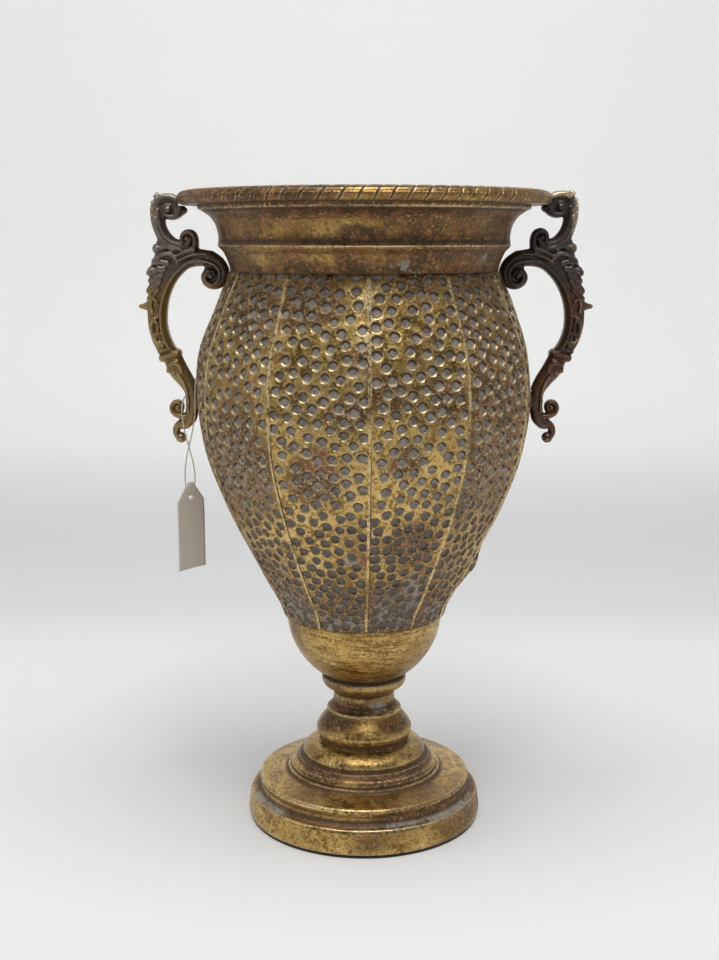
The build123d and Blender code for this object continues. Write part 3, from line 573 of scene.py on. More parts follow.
PANEL_WORN = [
    (0, 8.0, 168.0, 9.0, 0.55), (0, -4.0, 160.0, 10.0, 0.6), (0, 9.0, 155.0, 9.0, 0.65),
    (0, -6.0, 145.0, 9.0, 0.6), (0, 6.0, 142.0, 8.0, 0.55), (10, 6.0, 143.0, 8.0, 0.6),
    (10, -5.0, 141.0, 7.0, 0.6), (10, 12.0, 186.0, 5.0, 0.5), (9, 2.0, 148.0, 13.0, 0.6),
    (1, 0.0, 146.0, 11.0, 0.5), (4, 0.0, 150.0, 12.0, 0.6), (6, 3.0, 160.0, 11.0, 0.6),
]


def smooth(x, knots, values):
    """Values at x of a smooth curve through the knots."""
    slopes = np.gradient(values, knots)
    i = np.clip(np.searchsorted(knots, x) - 1, 0, len(knots) - 2)
    width = knots[i + 1] - knots[i]
    t = (x - knots[i]) / width
    near = (1 + 2 * t) * (1 - t) ** 2 * values[i] + t * (1 - t) ** 2 * width * slopes[i]
    return near + t**2 * (3 - 2 * t) * values[i + 1] + t**2 * (t - 1) * width * slopes[i + 1]


def rise(x, low, high):
    """Smooth rise from 0 to 1 as x goes from low to high, or a fall where high is the lower."""
    t = np.clip((x - low) / (high - low), 0.0, 1.0)
    return t * t * (3 - 2 * t)


def gore_radius(height, turn):
    """Radius of the plain gore at a height over its foot and a turn from its middle."""
    half = PANEL_PITCH / 2
    ridge = smooth(height, STATION_HEIGHTS, STATION_RADII)
    flatness = np.clip(smooth(height, STATION_HEIGHTS, STATION_FLATNESS), 0.0, MOST_FLATNESS)
    middle = ridge * np.cos(half) ** flatness
    centre = (ridge**2 - middle**2) / (2 * (ridge * np.cos(half) - middle))
    return centre * np.cos(turn) + np.sqrt((middle - centre) ** 2 - (centre * np.sin(turn)) ** 2)


heights = np.linspace(0.0, STATION_HEIGHTS[-1], LINE_STEPS)
middle_line = gore_radius(heights, 0.0)
length_line = np.concatenate([[0.0], np.cumsum(np.hypot(np.diff(heights), np.diff(middle_line)))])
PANEL_LENGTH = length_line[-1]
slope_line = np.arctan(np.gradient(middle_line, heights))


def half_width(level):
    """Half the width of the flat gore at a length along it."""
    height = np.interp(level, length_line, heights)
    return gore_radius(height, 0.0) * PANEL_PITCH / 2 - PANEL_GAP / 2


def panel_place(index, across, level, lift):
    """Points of a panel from places on the flat gore and a lift off its outer face."""
    height = np.interp(level, length_line, heights)
    turn = across / np.interp(height, heights, middle_line)
    slope = np.interp(height, heights, slope_line)
    radius = gore_radius(height, turn) + lift * np.cos(slope)
    azimuth = FIRST_SEAM + (index + 0.5) * PANEL_PITCH + turn
    z = PANEL_FOOT + height - lift * np.sin(slope)
    return np.stack([radius * np.cos(azimuth), radius * np.sin(azimuth), z], axis=-1)


def spacing(level):
    """Least distance between punch marks at a length along the gore."""
    return np.interp(level, [*PUNCH_SPACING_AT, PANEL_LENGTH], PUNCH_SPACING)


def punch_marks(random):
    """Centres of the punch marks on one flat gore: crowded at the foot, then evenly spread."""
    lowest, highest = PANEL_START + PUNCH_ENDS[0], PANEL_LENGTH - PUNCH_ENDS[1]
    marks = []
    for _ in range(PUNCH_TRIES):
        level = random.uniform(lowest, highest)
        edge = half_width(level) - PUNCH_MARGIN
        here = np.array([random.uniform(-edge, edge), level])
        if not marks or np.min(np.hypot(*(np.array(marks) - here).T)) > spacing(level):
            marks.append(here)
    marks = np.array(marks)
    for _ in range(SPREAD_ROUNDS):
        apart = marks[:, None] - marks[None]
        distance = np.hypot(apart[..., 0], apart[..., 1]) + 1e6 * np.eye(len(marks))
        push = np.clip(SPREAD_REACH * spacing(marks[:, 1])[:, None] - distance, 0.0, None) / distance
        marks += SPREAD_PUSH * (apart * push[..., None]).sum(1)
        marks[:, 1] = np.clip(marks[:, 1], lowest, highest)
        edge = half_width(marks[:, 1]) - PUNCH_MARGIN
        marks[:, 0] = np.clip(marks[:, 0], -edge, edge)
    return marks + random.normal(0.0, PUNCH_SCATTER, marks.shape)


def panel_outline():
    """Points round the flat gore, from the lower left corner round by the right."""
    sides = np.arange(PANEL_START + EDGE_MESH, PANEL_LENGTH - EDGE_MESH / 2, EDGE_MESH)
    ends = []
    for level in (PANEL_START, PANEL_LENGTH):
        width = half_width(level)
        across = np.linspace(-width, width, math.ceil(2 * width / EDGE_MESH) + 1)
        ends.append(np.stack([across, np.full_like(across, level)], axis=-1))
    right = np.stack([half_width(sides), sides], axis=-1)
    return np.concatenate([ends[0], right, ends[1][::-1], (right * [-1, 1])[::-1]])


def loop_edges(start, count):
    """Edges of a closed loop of points."""
    return [(start + i, start + (i + 1) % count) for i in range(count)]


def triangulated(points, edges):
    """Flat points and triangles of a sheet from its points and the edges of its outline."""
    flat, _, faces, *_ = delaunay_2d_cdt([Vector(p) for p in points], edges, [], 1, SNAP)
    return np.array([tuple(p) for p in flat]), np.array(faces)


def sheet_faces(faces, count):
    """Faces of a sheet from the triangles of one side of it: that side, the other side and the edges."""
    edges = np.concatenate([faces[:, [0, 1]], faces[:, [1, 2]], faces[:, [2, 0]]]).tolist()
    there = set(map(tuple, edges))
    rim = [(b, a, a + count, b + count) for a, b in edges if (b, a) not in there]
    return faces.tolist() + (faces[:, ::-1] + count).tolist() + rim


def reach(points, marks, radii):
    """Distance of each point from each mark, as a share of the mark's radius."""
    return np.hypot(points[:, None, 0] - marks[:, 0], points[:, None, 1] - marks[:, 1]) / radii


def inside(points, margin):
    """Whether each point lies on the flat gore, with a margin."""
    clear = np.abs(points[:, 0]) < half_width(points[:, 1]) - margin
    return clear & (points[:, 1] > PANEL_START + margin) & (points[:, 1] < PANEL_LENGTH - margin)


def panel_mesh(marks, radii, random):
    """Flat points and triangles of one gore, close together round the punch marks."""
    points = []
    for ratio, count in PUNCH_RINGS:
        angles = 2 * math.pi * np.arange(count) / count + random.uniform(0.0, RING_TURN, (len(marks), 1))
        around = np.stack([np.cos(angles), np.sin(angles)], axis=-1)
        ring = (marks[:, None] + (ratio * radii)[:, None, None] * around).reshape(-1, 2)
        others = reach(ring, marks, radii)
        others[np.arange(len(ring)), np.repeat(np.arange(len(marks)), count)] = np.inf
        points.append(ring[others.min(1) > max(ratio, RING_EDGE) + RING_CLEAR])
    rows = np.arange(-PANEL_LENGTH, PANEL_LENGTH, LAND_MESH)
    grid = np.stack(np.meshgrid(rows, rows), axis=-1).reshape(-1, 2)
    grid[:, 0] += LAND_MESH / 2 * (np.round(grid[:, 1] / LAND_MESH) % 2)
    grid = grid[inside(grid, EDGE_MESH)]
    points.append(grid[reach(grid, marks, radii).min(1) > LAND_CLEAR])
    levels = np.arange(EDGE_MESH / 2, PANEL_LENGTH, EDGE_MESH)
    for inset in EDGE_ROWS:
        for side in (-1, 1):
            row = np.stack([side * (half_width(levels) - inset), levels], axis=-1)
            points.append(row[reach(row, marks, radii).min(1) > EDGE_ROW_CLEAR])
    points = np.concatenate(points)
    outline = panel_outline()
    points = np.concatenate([outline, points[inside(points, EDGE_CLEAR)]])
    return triangulated(points, loop_edges(0, len(outline)))


def ring_share(ratio, pairs):
    """Share of each point in a ring round the marks, from the pairs that the ring rises and falls over."""
    rising, falling = pairs
    return (rise(ratio, *rising) * rise(ratio, *falling)).max(1)


def patches(table, index, flat):
    """Amount at each point of the soft round patches that a table lists for a panel."""
    amounts = np.zeros(len(flat))
    for panel, across, z, size, amount in table:
        if panel == index:
            level = np.interp(z - PANEL_FOOT, heights, length_line)
            away = np.hypot(flat[:, 0] - across, flat[:, 1] - level)
            amounts = np.maximum(amounts, amount * np.exp(-((away / size) ** 2)))
    return amounts


def panel_wave(index, across, level, seam, waves):
    """Lift of the sheet off the plain gore: low waves, and the bulges and dents of this panel."""
    by_top = rise(level, PANEL_LENGTH, PANEL_LENGTH - WAVE_BY_TOP)
    wave = WAVE_HEIGHT * np.sin(across / WAVE_ACROSS + waves[0]) * np.sin(level / WAVE_ALONG + waves[1])
    wave += PANEL_SWELL + LONG_WAVE_HEIGHT * np.sin(level / LONG_WAVE_ALONG + waves[2])
    wave *= rise(seam, *WAVE_BY_SEAM) * rise(level, *WAVE_BY_FOOT) * by_top
    for panel, middle, middle_level, size, amount in PANEL_BUMPS:
        if panel == index:
            away = (across - middle) ** 2 + (level - middle_level) ** 2
            wave += amount * np.exp(-away / size**2) * rise(seam, *BUMP_BY_SEAM)
    return wave


def punched_panel(index):
    """Points, faces and marks of one panel with its punched outer face, its inner face and its edges."""
    random = np.random.default_rng(PANEL_SEED + index)
    marks = punch_marks(random)
    radii = PUNCH_RADIUS * random.uniform(*PUNCH_RADIUS_SPREAD, len(marks))
    depths = PUNCH_DEPTH * random.uniform(*PUNCH_DEPTH_SPREAD, len(marks))
    waves = random.uniform(0.0, 2 * math.pi, 3)
    flat, faces = panel_mesh(marks, radii, random)
    across, level = flat[:, 0], flat[:, 1]
    ratio = reach(flat, marks, radii)
    seam = half_width(level) - np.abs(across)
    free = rise(seam, *FLAT_BY_SEAM)
    sunk = (depths * rise(ratio, *SINK_EDGE)).max(1) * free
    lip = ring_share(ratio, LIP_RING) * (ratio.min(1) > 1.0) * free
    wave = panel_wave(index, across, level, seam, waves)
    outer = panel_place(index, across, level, wave - sunk + PUNCH_LIP * lip)
    inner = panel_place(index, across, level, wave - BACK_OF_MARK * sunk - PANEL_SHEET)

    below = (marks[ratio.argmin(1)][:, 1] - level) / PUNCH_RADIUS
    floor = rise(ratio.min(1), *FLOOR_EDGE) * free
    dull_floor = floor * rise(level, *DULL_LEVELS)
    wall = ring_share(ratio, WALL_RING) * free
    slant = ring_share(ratio, SLANT_RING) * free
    # Painted highlight: higher up the body, the lower wall of each mark is made bright as if lit from above
    highlight_crescent = slant * rise(below, *CRESCENT_BELOW) * rise(level, *CRESCENT_LEVELS)
    outlined = OUTLINE_GRIME + OUTLINE_GRIME_BELOW * rise(level, *OUTLINE_LEVELS)
    outlined = outlined * wall * (1 - highlight_crescent)
    upper_wall = ring_share(ratio, UPPER_WALL_RING) * free
    # Painted shade: the upper wall of each mark is darkened as if in shadow
    shaded = upper_wall * rise(below, *SHADE_BELOW) * rise(level, *SHADE_LEVELS)
    top_edge = rise(level, PANEL_LENGTH - DARK_BY_TOP[0], PANEL_LENGTH - DARK_BY_TOP[1])
    near_seam = rise(seam, *WORN_BY_SEAM)
    crack = SEAM_GRIME * rise(seam, *DARK_BY_SEAM)
    if index == 0:
        crack = near_seam * (across < 0) * rise(level, *CRACK_LEVELS)
    # Brightened: rubbed lips and seam edges, with the painted highlights
    brightened = np.maximum.reduce([LIP_WEAR * lip, EDGE_BY_SEAM_WEAR * near_seam, highlight_crescent])
    # Darkened: grime round the marks and on their floors, at the top edge and seams, and the painted shade
    darkened = [outlined, shaded, FLOOR_GRIME * dull_floor, TOP_GRIME * top_edge, crack]
    foot_stain = FOOT_STAIN * rise(level, *FOOT_STAIN_LEVELS)
    outside = {
        "wear": brightened + patches(PANEL_BRIGHT, index, flat),
        "hollow": np.maximum.reduce(darkened),
        "iron": np.maximum(floor, patches(PANEL_WORN, index, flat)),
        # Stains, with the broad painted shade of the side panels
        "stain": np.maximum(patches(PANEL_STAINS_AND_SHADE, index, flat), foot_stain),
    }
    age = {}
    for name, values in outside.items():
        age[name] = np.concatenate([values, np.full(len(flat), INSIDE_MARKS[name])])
    return np.concatenate([outer, inner]) * MM, sheet_faces(faces, len(flat)), age


panel_leaf = leaf_material("panel_leaf", brown=0.1, streak=0.0, speckle=0.3, bump=0.45)
for index in range(PANEL_COUNT):
    points, faces, age = punched_panel(index)
    panel = mesh_piece(f"punched_panel_{index + 1:02d}", points, faces, panel_leaf, **age)
    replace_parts(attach(panel, "urn"), f"panel_{index + 1:02d}")

# Panel seams
# A bead of braze along each joint between two panels, filed down by hand so that it runs uneven and bright.
# Lower down, a dark line of grime is left along one side of it.
SEAM_STEP = 1.5
SEAM_START = 3.2
SEAM_END = 0.2
SEAM_HALF_WIDTH = 1.15
SEAM_HEIGHT = 0.75
SEAM_SUNK = 0.35
SEAM_SWAY = 0.3
SWAY_WINDOW = 15
SEAM_RAGGED = 0.8
RAGGED_WINDOW = 9
RAGGED_WIDTH = 0.35
RAGGED_HEIGHT = 0.45
SEAM_SECTION_STEPS = 8
SEAM_SECTION = np.linspace(0.0, math.pi, SEAM_SECTION_STEPS)
SEAM_DARK_SIDE = 0.7 * math.pi
SEAM_SEED = 7
SEAM_WEAR = 0.45
RAGGED_WEAR = 0.5
UPPER_WEAR = 0.4
LEAST_WEAR = 0.1
DARK_SIDE_GRIME = 0.9
SEAM_BRIGHT_FROM = (255.0, 305.0)
SEAM_DARK_FROM = (285.0, 245.0)
# Stains as (seam, height, size, amount)
SEAM_STAINS = [(0, 307.0, 9.0, 1.3), (0, 276.0, 7.0, 0.8), (1, 262.0, 9.0, 0.7), (10, 318.0, 9.0, 0.7)]
seam_random = np.random.default_rng(SEAM_SEED)
levels = np.arange(SEAM_START, STATION_HEIGHTS[-1] - SEAM_END, SEAM_STEP)
seam_z = PANEL_FOOT + levels
ridge = smooth(levels, STATION_HEIGHTS, STATION_RADII)


def ragged_line(window):
    """Random unevenness along a seam, smoothed over a window of points."""
    values = seam_random.normal(0.0, 1.0, len(levels) + window - 1)
    return np.convolve(values, np.ones(window) / window, "valid")


around = SEAM_SECTION_STEPS
bead_faces = ring_faces(len(levels), around)[:-around].tolist()
bead_faces.append(list(reversed(range(around))))
bead_faces.append([(len(levels) - 1) * around + k for k in range(around)])
seam_points, seam_faces, seam_wear, seam_dark, seam_stain = [], [], [], [], []
for index in range(PANEL_COUNT):
    ragged = ragged_line(RAGGED_WINDOW) * SEAM_RAGGED
    width = SEAM_HALF_WIDTH * (1 + RAGGED_WIDTH * ragged)
    tall = SEAM_HEIGHT * (1 + RAGGED_HEIGHT * ragged)
    sway = SEAM_SWAY * ragged_line(SWAY_WINDOW)
    across = sway[:, None] - width[:, None] * np.cos(SEAM_SECTION)
    out = ridge[:, None] - SEAM_SUNK + tall[:, None] * np.sin(SEAM_SECTION)
    azimuth = FIRST_SEAM + index * PANEL_PITCH + across / ridge[:, None]
    z = np.repeat(seam_z[:, None], around, axis=1)
    rows = np.stack([out * np.cos(azimuth), out * np.sin(azimuth), z], axis=-1)
    seam_points.append(rows.reshape(-1, 3))
    first = index * len(levels) * around
    seam_faces += [[first + corner for corner in face] for face in bead_faces]
    crest = SEAM_WEAR + RAGGED_WEAR * ragged + UPPER_WEAR * rise(seam_z, *SEAM_BRIGHT_FROM)
    seam_wear.append(np.repeat(np.clip(crest, LEAST_WEAR, 1.0), around))
    dark = np.clip(DARK_SIDE_GRIME + ragged, 0.0, 1.0) * rise(seam_z, *SEAM_DARK_FROM)
    seam_dark.append((dark[:, None] * (SEAM_SECTION > SEAM_DARK_SIDE)).reshape(-1))
    stained = np.zeros(len(levels))
    for seam, height, size, amount in SEAM_STAINS:
        if seam == index:
            stained = np.maximum(stained, amount * np.exp(-(((seam_z - height) / size) ** 2)))
    seam_stain.append(np.repeat(stained, around))
seam_leaf = leaf_material("seam_leaf", brown=0.1, streak=0.0, speckle=0.6, bump=0.5)
seams = mesh_piece("panel_seams", np.concatenate(seam_points) * MM, seam_faces, seam_leaf,
                   wear=np.concatenate(seam_wear), hollow=np.concatenate(seam_dark),
                   stain=np.concatenate(seam_stain))
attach(seams, "urn")

# Collar
# A spun neck of heavier sheet: a skirt inside the panels, a cone out to a sharp ridge, then a cove that
# flares to the rim. Its leaf lies in level streaks with brown between them.
COLLAR = [
    (79.6, 349.0, 0.0), (80.9, 349.0, 0.0), (80.9, 351.6, 0.0), (82.2, 351.6, 0.2), (82.5, 354.6, 0.8),
    (84.0, 359.0, 1.0), (86.2, 363.6, 1.0), (88.8, 366.2, 0.8), (89.6, 367.4, 0.5), (89.2, 368.9, 0.6),
    (89.0, 373.0, 1.6), (90.4, 379.6, 3.0), (93.6, 384.6, 2.6), (99.6, 388.5, 0.6), (96.5, 388.5, 0.0),
    (91.6, 384.0, 2.0), (88.4, 378.0, 2.0), (87.6, 369.2, 0.6), (80.9, 354.0, 0.4),
]
COLLAR_DIRT = [(351.6, 1.6), (370.0, 1.6), (387.8, 1.4)]
COLLAR_BARE = [
    (356.5, 3.0, -74.8, 3.0, 0.5), (356.5, 2.2, -81.4, 2.4, 0.48), (352.6, 2.0, -70.0, 3.0, 0.48),
    (360.2, 3.0, -34.0, 4.0, 0.5),
]
# The band under the rim at the front is painted shade, and the two wide patches at the ends partly so
COLLAR_BROWN = [
    (372.7, 4.5, -91.0, 7.0, 0.75), (359.5, 5.0, -96.0, 4.0, 0.75), (386.0, 3.0, -90.0, 60.0, 0.75),
    (372.0, 5.0, 60.0, 30.0, 0.75), (354.0, 4.0, -112.0, 8.0, 0.75), (362.0, 4.0, -62.0, 6.0, 0.75),
    (353.0, 3.0, -90.0, 70.0, 0.75), (372.0, 16.0, -12.0, 22.0, 0.6), (364.0, 16.0, -170.0, 20.0, 0.6),
]
collar_leaf = leaf_material("collar_leaf", brown=0.3, streak=0.5, speckle=0.2, bump=0.4, flecks=0.45)
collar = turned_piece("flared_collar", COLLAR, collar_leaf, 0.14, COLLAR_DIRT, COLLAR_BARE, COLLAR_BROWN)
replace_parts(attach(collar, "urn"), "collar")

# Rim band
# A narrow flat moulding, turned, and soldered between the collar and the rope.
# Its leaf is mostly stained brown.
BAND = [(96.5, 388.5, 0.0), (101.2, 388.5, 1.2), (101.7, 391.5, 0.2), (96.5, 391.5, 0.0)]
BAND_BROWN = [
    (390.0, 3.0, -125.0, 34.0, 1.1), (390.0, 3.0, -30.0, 24.0, 0.8), (390.0, 3.0, 80.0, 60.0, 0.8),
]
rim_leaf = leaf_material("rim_leaf", brown=0.4, streak=0.2, speckle=0.9, bump=0.5)
band = turned_piece("rim_band_moulding", BAND, rim_leaf, dirt=[(391.4, 0.7)], brown=BAND_BROWN)
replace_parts(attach(band, "urn"), "rim_band")

# Rope rim
# A cast rim, flat below and round outside, cut all round with slanting grooves so that it looks like rope.
# It is soldered onto the band. Grime sits in the cuts, the leaf beside them is brightened, partly as rubbing
# and partly as painted highlight, and the leaf is browner towards the left handle.
ROPE_STRANDS = 73
ROPE_STRAND_STEPS = 24
ROPE_LEAN = 0.66
ROPE_LEAN_FROM = 11.0
ROPE_LEAN_OVER = 12.0
ROPE_CUT = 0.55
ROPE_CUT_WIDTH = 0.05
ROPE_CUT_RADII = (103.0, 107.0)
ROPE_CUT_HEIGHTS = (391.5, 392.4)
ROPE_SWELL = 0.25
ROPE_WEAR_AND_HIGHLIGHT = 0.25
ROPE_BRIGHT_OUT = (0.22, 0.12)
ROPE_BRIGHT_IN = (0.04, 0.1)
ROPE_GRIME_IN = (0.35, 0.9)
# Unevenness of the strands as (amount, waves round, start)
ROPE_SWAY = [(0.16, 5, 0.0), (0.1, 13, 1.0)]
ROPE_STAIN_AT = math.radians(200)
ROPE_STAIN_SPREAD = (0.35, 0.95)
ROPE_SECTION = [
    (100.2, 391.5, 0.3), (111.4, 391.5, 1.2), (113.7, 394.0, 2.2), (113.5, 397.6, 2.2), (110.4, 399.8, 2.4),
    (105.0, 400.0, 2.4), (101.4, 398.4, 1.6), (100.2, 395.7, 0.8),
]
outline, _ = moulding(ROPE_SECTION)
angles = np.linspace(0.0, 2 * math.pi, ROPE_STRANDS * ROPE_STRAND_STEPS, endpoint=False)
ahead = np.roll(outline, -1, axis=0) - np.roll(outline, 1, axis=0)
outward = np.stack([ahead[:, 1], -ahead[:, 0]], axis=-1) / np.hypot(*ahead.T)[:, None]
length = np.concatenate([[0.0], np.cumsum(np.hypot(*np.diff(outline, axis=0).T))])
cut_share = (rise(outline[:, 0], *ROPE_CUT_RADII) * rise(outline[:, 1], *ROPE_CUT_HEIGHTS))[:, None]
lean = ROPE_LEAN * (length - ROPE_LEAN_FROM) / ROPE_LEAN_OVER
sway = sum(amount * np.sin(count * angles + start) for amount, count, start in ROPE_SWAY)
phase = (ROPE_STRANDS * angles / (2 * math.pi) + sway)[None] - lean[:, None]
beside = np.abs((phase + 0.5) % 1.0 - 0.5)
valley = np.exp(-((beside / ROPE_CUT_WIDTH) ** 2)) + ROPE_SWELL * (1 - np.abs(np.sin(math.pi * phase)))
shaped = outline[:, None] - ROPE_CUT * (cut_share * valley)[..., None] * outward[:, None]
radius = shaped[..., 0]
points = np.stack([radius * np.cos(angles), radius * np.sin(angles), shaped[..., 1]], axis=-1)
# Leaf beside each cut, partly rubbed and partly a painted highlight along the strands
brightened = cut_share * ROPE_WEAR_AND_HIGHLIGHT * rise(beside, *ROPE_BRIGHT_OUT) * rise(beside, *ROPE_BRIGHT_IN)
browner = np.tile(rise(np.cos(angles - ROPE_STAIN_AT), *ROPE_STAIN_SPREAD), len(outline))
rope_leaf = leaf_material("rope_leaf", brown=0.27, streak=0.0, speckle=0.25, bump=0.25, flecks=0.25)
rope_faces = ring_faces(len(outline), len(angles))
darkened = cut_share * rise(valley, *ROPE_GRIME_IN)
rope = mesh_piece("rope_rim_casting", points.reshape(-1, 3) * MM, rope_faces, rope_leaf,
                  wear=brightened.reshape(-1), hollow=darkened.reshape(-1), stain=browner)
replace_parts(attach(rope, "urn"), "rope_rim")

# Handles
# Cast bronze scrolls, mirrored left and right and screwed on from inside: a large scroll that ends in a
# volute against the body, a small curl, a top arm with a leaf edge, a ring, and a lower arm. Gilt is rubbed
# onto the raised work.
HANDLE_CELL = 0.42
HANDLE_LOW = (78.0, -8.4, 241.0)
HANDLE_HIGH = (142.5, 8.4, 402.0)
HANDLE_CLEARANCE = 0.3
SPINE_STEP = 0.9
GROW_MARGIN = 3.0
NO_METAL = 9.0
# Rounded bars as (distance from the axis, height, half width, half depth)
INNER_RAIL = [
    (98.0, 357.1, 2.4, 5.9), (104.4, 356.8, 2.4, 5.9), (109.2, 355.2, 2.3, 5.9), (113.2, 352.0, 2.3, 5.9),
    (117.5, 346.8, 2.3, 5.8), (120.6, 341.0, 2.3, 5.7), (123.2, 332.6, 2.3, 5.6), (124.1, 325.0, 2.3, 5.6),
    (123.8, 316.7, 2.3, 5.6), (122.0, 309.8, 2.3, 5.6), (119.0, 303.4, 2.3, 5.6),
]
OUTER_WEB = [
    (95.4, 360.0, 4.4, 5.0), (104.0, 361.0, 4.4, 4.7), (111.0, 358.6, 4.8, 4.4), (116.8, 354.4, 5.0, 4.2),
    (121.8, 348.6, 5.2, 4.0), (125.4, 342.0, 5.4, 4.0), (128.0, 333.5, 5.4, 4.0), (129.0, 325.5, 5.2, 4.0),
    (128.6, 317.0, 5.0, 4.1), (126.7, 309.5, 4.8, 4.3), (122.0, 301.0, 4.8, 4.5),
]
LARGE_VOLUTE = [
    (94.4, 359.9, 4.4, 5.8), (89.6, 357.0, 3.8, 6.0), (86.5, 352.0, 3.5, 6.3), (87.1, 346.6, 3.0, 6.4),
    (90.2, 343.4, 2.5, 6.4), (94.6, 342.9, 2.1, 6.3), (98.0, 345.4, 1.9, 6.2), (98.6, 349.2, 1.8, 6.1),
    (96.4, 352.2, 1.6, 6.0), (93.2, 352.0, 1.4, 6.0), (91.6, 349.6, 1.2, 6.0),
]
VOLUTE_WEB = [(92.0, 351.6, 8.0, 4.6), (94.0, 349.0, 5.4, 4.6)]
TOP_ARM = [
    (126.4, 389.5, 4.4, 4.6), (126.2, 383.6, 4.5, 4.8), (125.0, 377.6, 4.2, 4.8), (122.2, 372.2, 4.3, 4.8),
    (117.8, 368.3, 4.1, 4.8), (111.0, 366.4, 3.6, 4.8), (106.0, 364.4, 3.6, 4.8),
]
TOP_VOLUTE = [
    (127.0, 388.0, 3.8, 5.0), (126.0, 393.4, 3.0, 5.4), (122.8, 396.2, 2.3, 5.6), (118.6, 396.5, 2.1, 5.7),
    (114.2, 394.6, 2.3, 5.8), (112.2, 390.4, 2.4, 5.9), (113.8, 386.2, 2.4, 6.0), (117.8, 384.6, 2.1, 6.0),
    (121.6, 386.0, 1.8, 5.9), (122.8, 389.2, 1.6, 5.8), (120.8, 391.8, 1.4, 5.7), (118.0, 391.2, 1.2, 5.7),
]
TOP_VOLUTE_WEB = [(119.0, 390.4, 7.4, 4.2), (121.0, 389.4, 6.4, 4.2)]
LEAF_TIP = [(124.6, 395.4, 2.2, 3.0), (126.0, 397.4, 1.4, 2.2), (126.8, 399.2, 0.5, 1.2)]
SMALL_CURL = [
    (104.4, 362.5, 2.8, 4.9), (103.7, 367.0, 2.3, 4.9), (103.6, 371.2, 2.1, 4.9), (105.0, 374.4, 2.0, 4.9),
    (107.9, 375.4, 1.9, 4.9), (110.7, 374.0, 1.8, 4.9), (111.4, 371.0, 1.7, 4.9), (109.6, 368.6, 1.6, 4.9),
    (107.0, 369.2, 1.5, 4.9), (106.4, 371.6, 1.3, 4.9),
]
CURL_WEB = [(107.4, 371.4, 3.8, 3.4), (107.8, 371.6, 3.6, 3.4)]
SHELL_WEB = [(106.0, 362.8, 4.0, 4.2), (117.0, 363.0, 4.6, 4.0), (124.4, 361.4, 4.0, 3.8)]
SHELL_BACK = [
    (124.4, 368.6, 3.2, 3.8), (125.0, 363.0, 3.2, 3.6), (125.6, 357.8, 4.4, 3.6), (127.2, 352.0, 5.0, 3.6),
    (128.2, 346.0, 4.4, 3.6), (129.2, 339.0, 3.6, 3.6),
]
SPIKE = [
    (130.6, 330.8, 4.8, 3.6), (134.0, 330.4, 3.0, 2.8), (136.4, 330.2, 1.9, 1.9), (138.0, 330.2, 1.4, 1.4),
]
RIM_PAD = [(114.0, 387.2, 3.4, 5.4), (110.4, 388.4, 2.3, 4.8)]
RING_ABOVE = [(119.4, 304.8, 1.6, 5.8), (127.0, 302.2, 1.6, 5.8)]
ARM_RING = [(115.9, 301.5, 2.6, 6.8), (125.3, 298.3, 2.6, 6.8)]
RING_BELOW = [(115.6, 297.0, 1.5, 5.7), (121.4, 295.0, 1.5, 5.7)]
LOW_ARM = [
    (119.8, 299.7, 5.8, 5.2), (115.8, 290.7, 6.0, 5.2), (111.4, 284.2, 5.1, 5.2), (108.3, 278.2, 4.3, 5.0),
    (107.6, 271.7, 4.0, 4.8), (108.0, 265.2, 4.0, 4.8), (109.6, 259.8, 3.9, 4.7), (113.2, 256.7, 3.2, 4.4),
]
OUTER_CURL = [
    (109.4, 261.8, 2.6, 4.4), (113.0, 261.6, 2.3, 4.4), (116.6, 262.5, 2.1, 4.4), (119.5, 264.3, 1.9, 4.4),
    (120.4, 267.4, 1.8, 4.4), (118.8, 270.2, 1.7, 4.4), (116.0, 270.6, 1.6, 4.4), (114.2, 268.6, 1.5, 4.4),
    (114.9, 266.2, 1.4, 4.4), (117.0, 266.4, 1.2, 4.4),
]
OUTER_CURL_WEB = [(116.6, 266.6, 3.6, 3.0), (117.0, 266.8, 3.6, 3.0)]
HOOK = [
    (111.5, 256.8, 3.0, 4.2), (115.2, 257.0, 2.7, 4.0), (117.8, 254.2, 2.4, 3.9), (117.7, 250.4, 2.3, 3.9),
    (115.6, 248.4, 2.4, 3.9),
]
LOWER_BOSS = [(100.0, 271.5, 3.4, 4.2), (106.0, 271.0, 5.4, 4.6)]
# Each bar with its squareness and its fillet
BARS = [
    (OUTER_WEB, 3.0, 0.8), (INNER_RAIL, 2.4, 0.5), (VOLUTE_WEB, 4.0, 0.6), (LARGE_VOLUTE, 2.2, 0.4),
    (TOP_ARM, 2.8, 0.8), (TOP_VOLUTE_WEB, 4.0, 0.6), (TOP_VOLUTE, 2.2, 0.4), (RIM_PAD, 2.4, 0.6),
    (LEAF_TIP, 2.0, 0.6), (CURL_WEB, 4.0, 0.5), (SMALL_CURL, 2.2, 0.4), (SHELL_WEB, 3.0, 1.0),
    (SHELL_BACK, 3.0, 1.0), (SPIKE, 2.0, 0.7), (LOW_ARM, 2.4, 0.8), (RING_ABOVE, 2.2, 0.8),
    (ARM_RING, 2.2, 0.6), (RING_BELOW, 2.2, 0.8), (OUTER_CURL_WEB, 4.0, 0.4), (OUTER_CURL, 2.2, 0.4),
    (HOOK, 2.2, 0.5), (LOWER_BOSS, 3.0, 0.8),
]
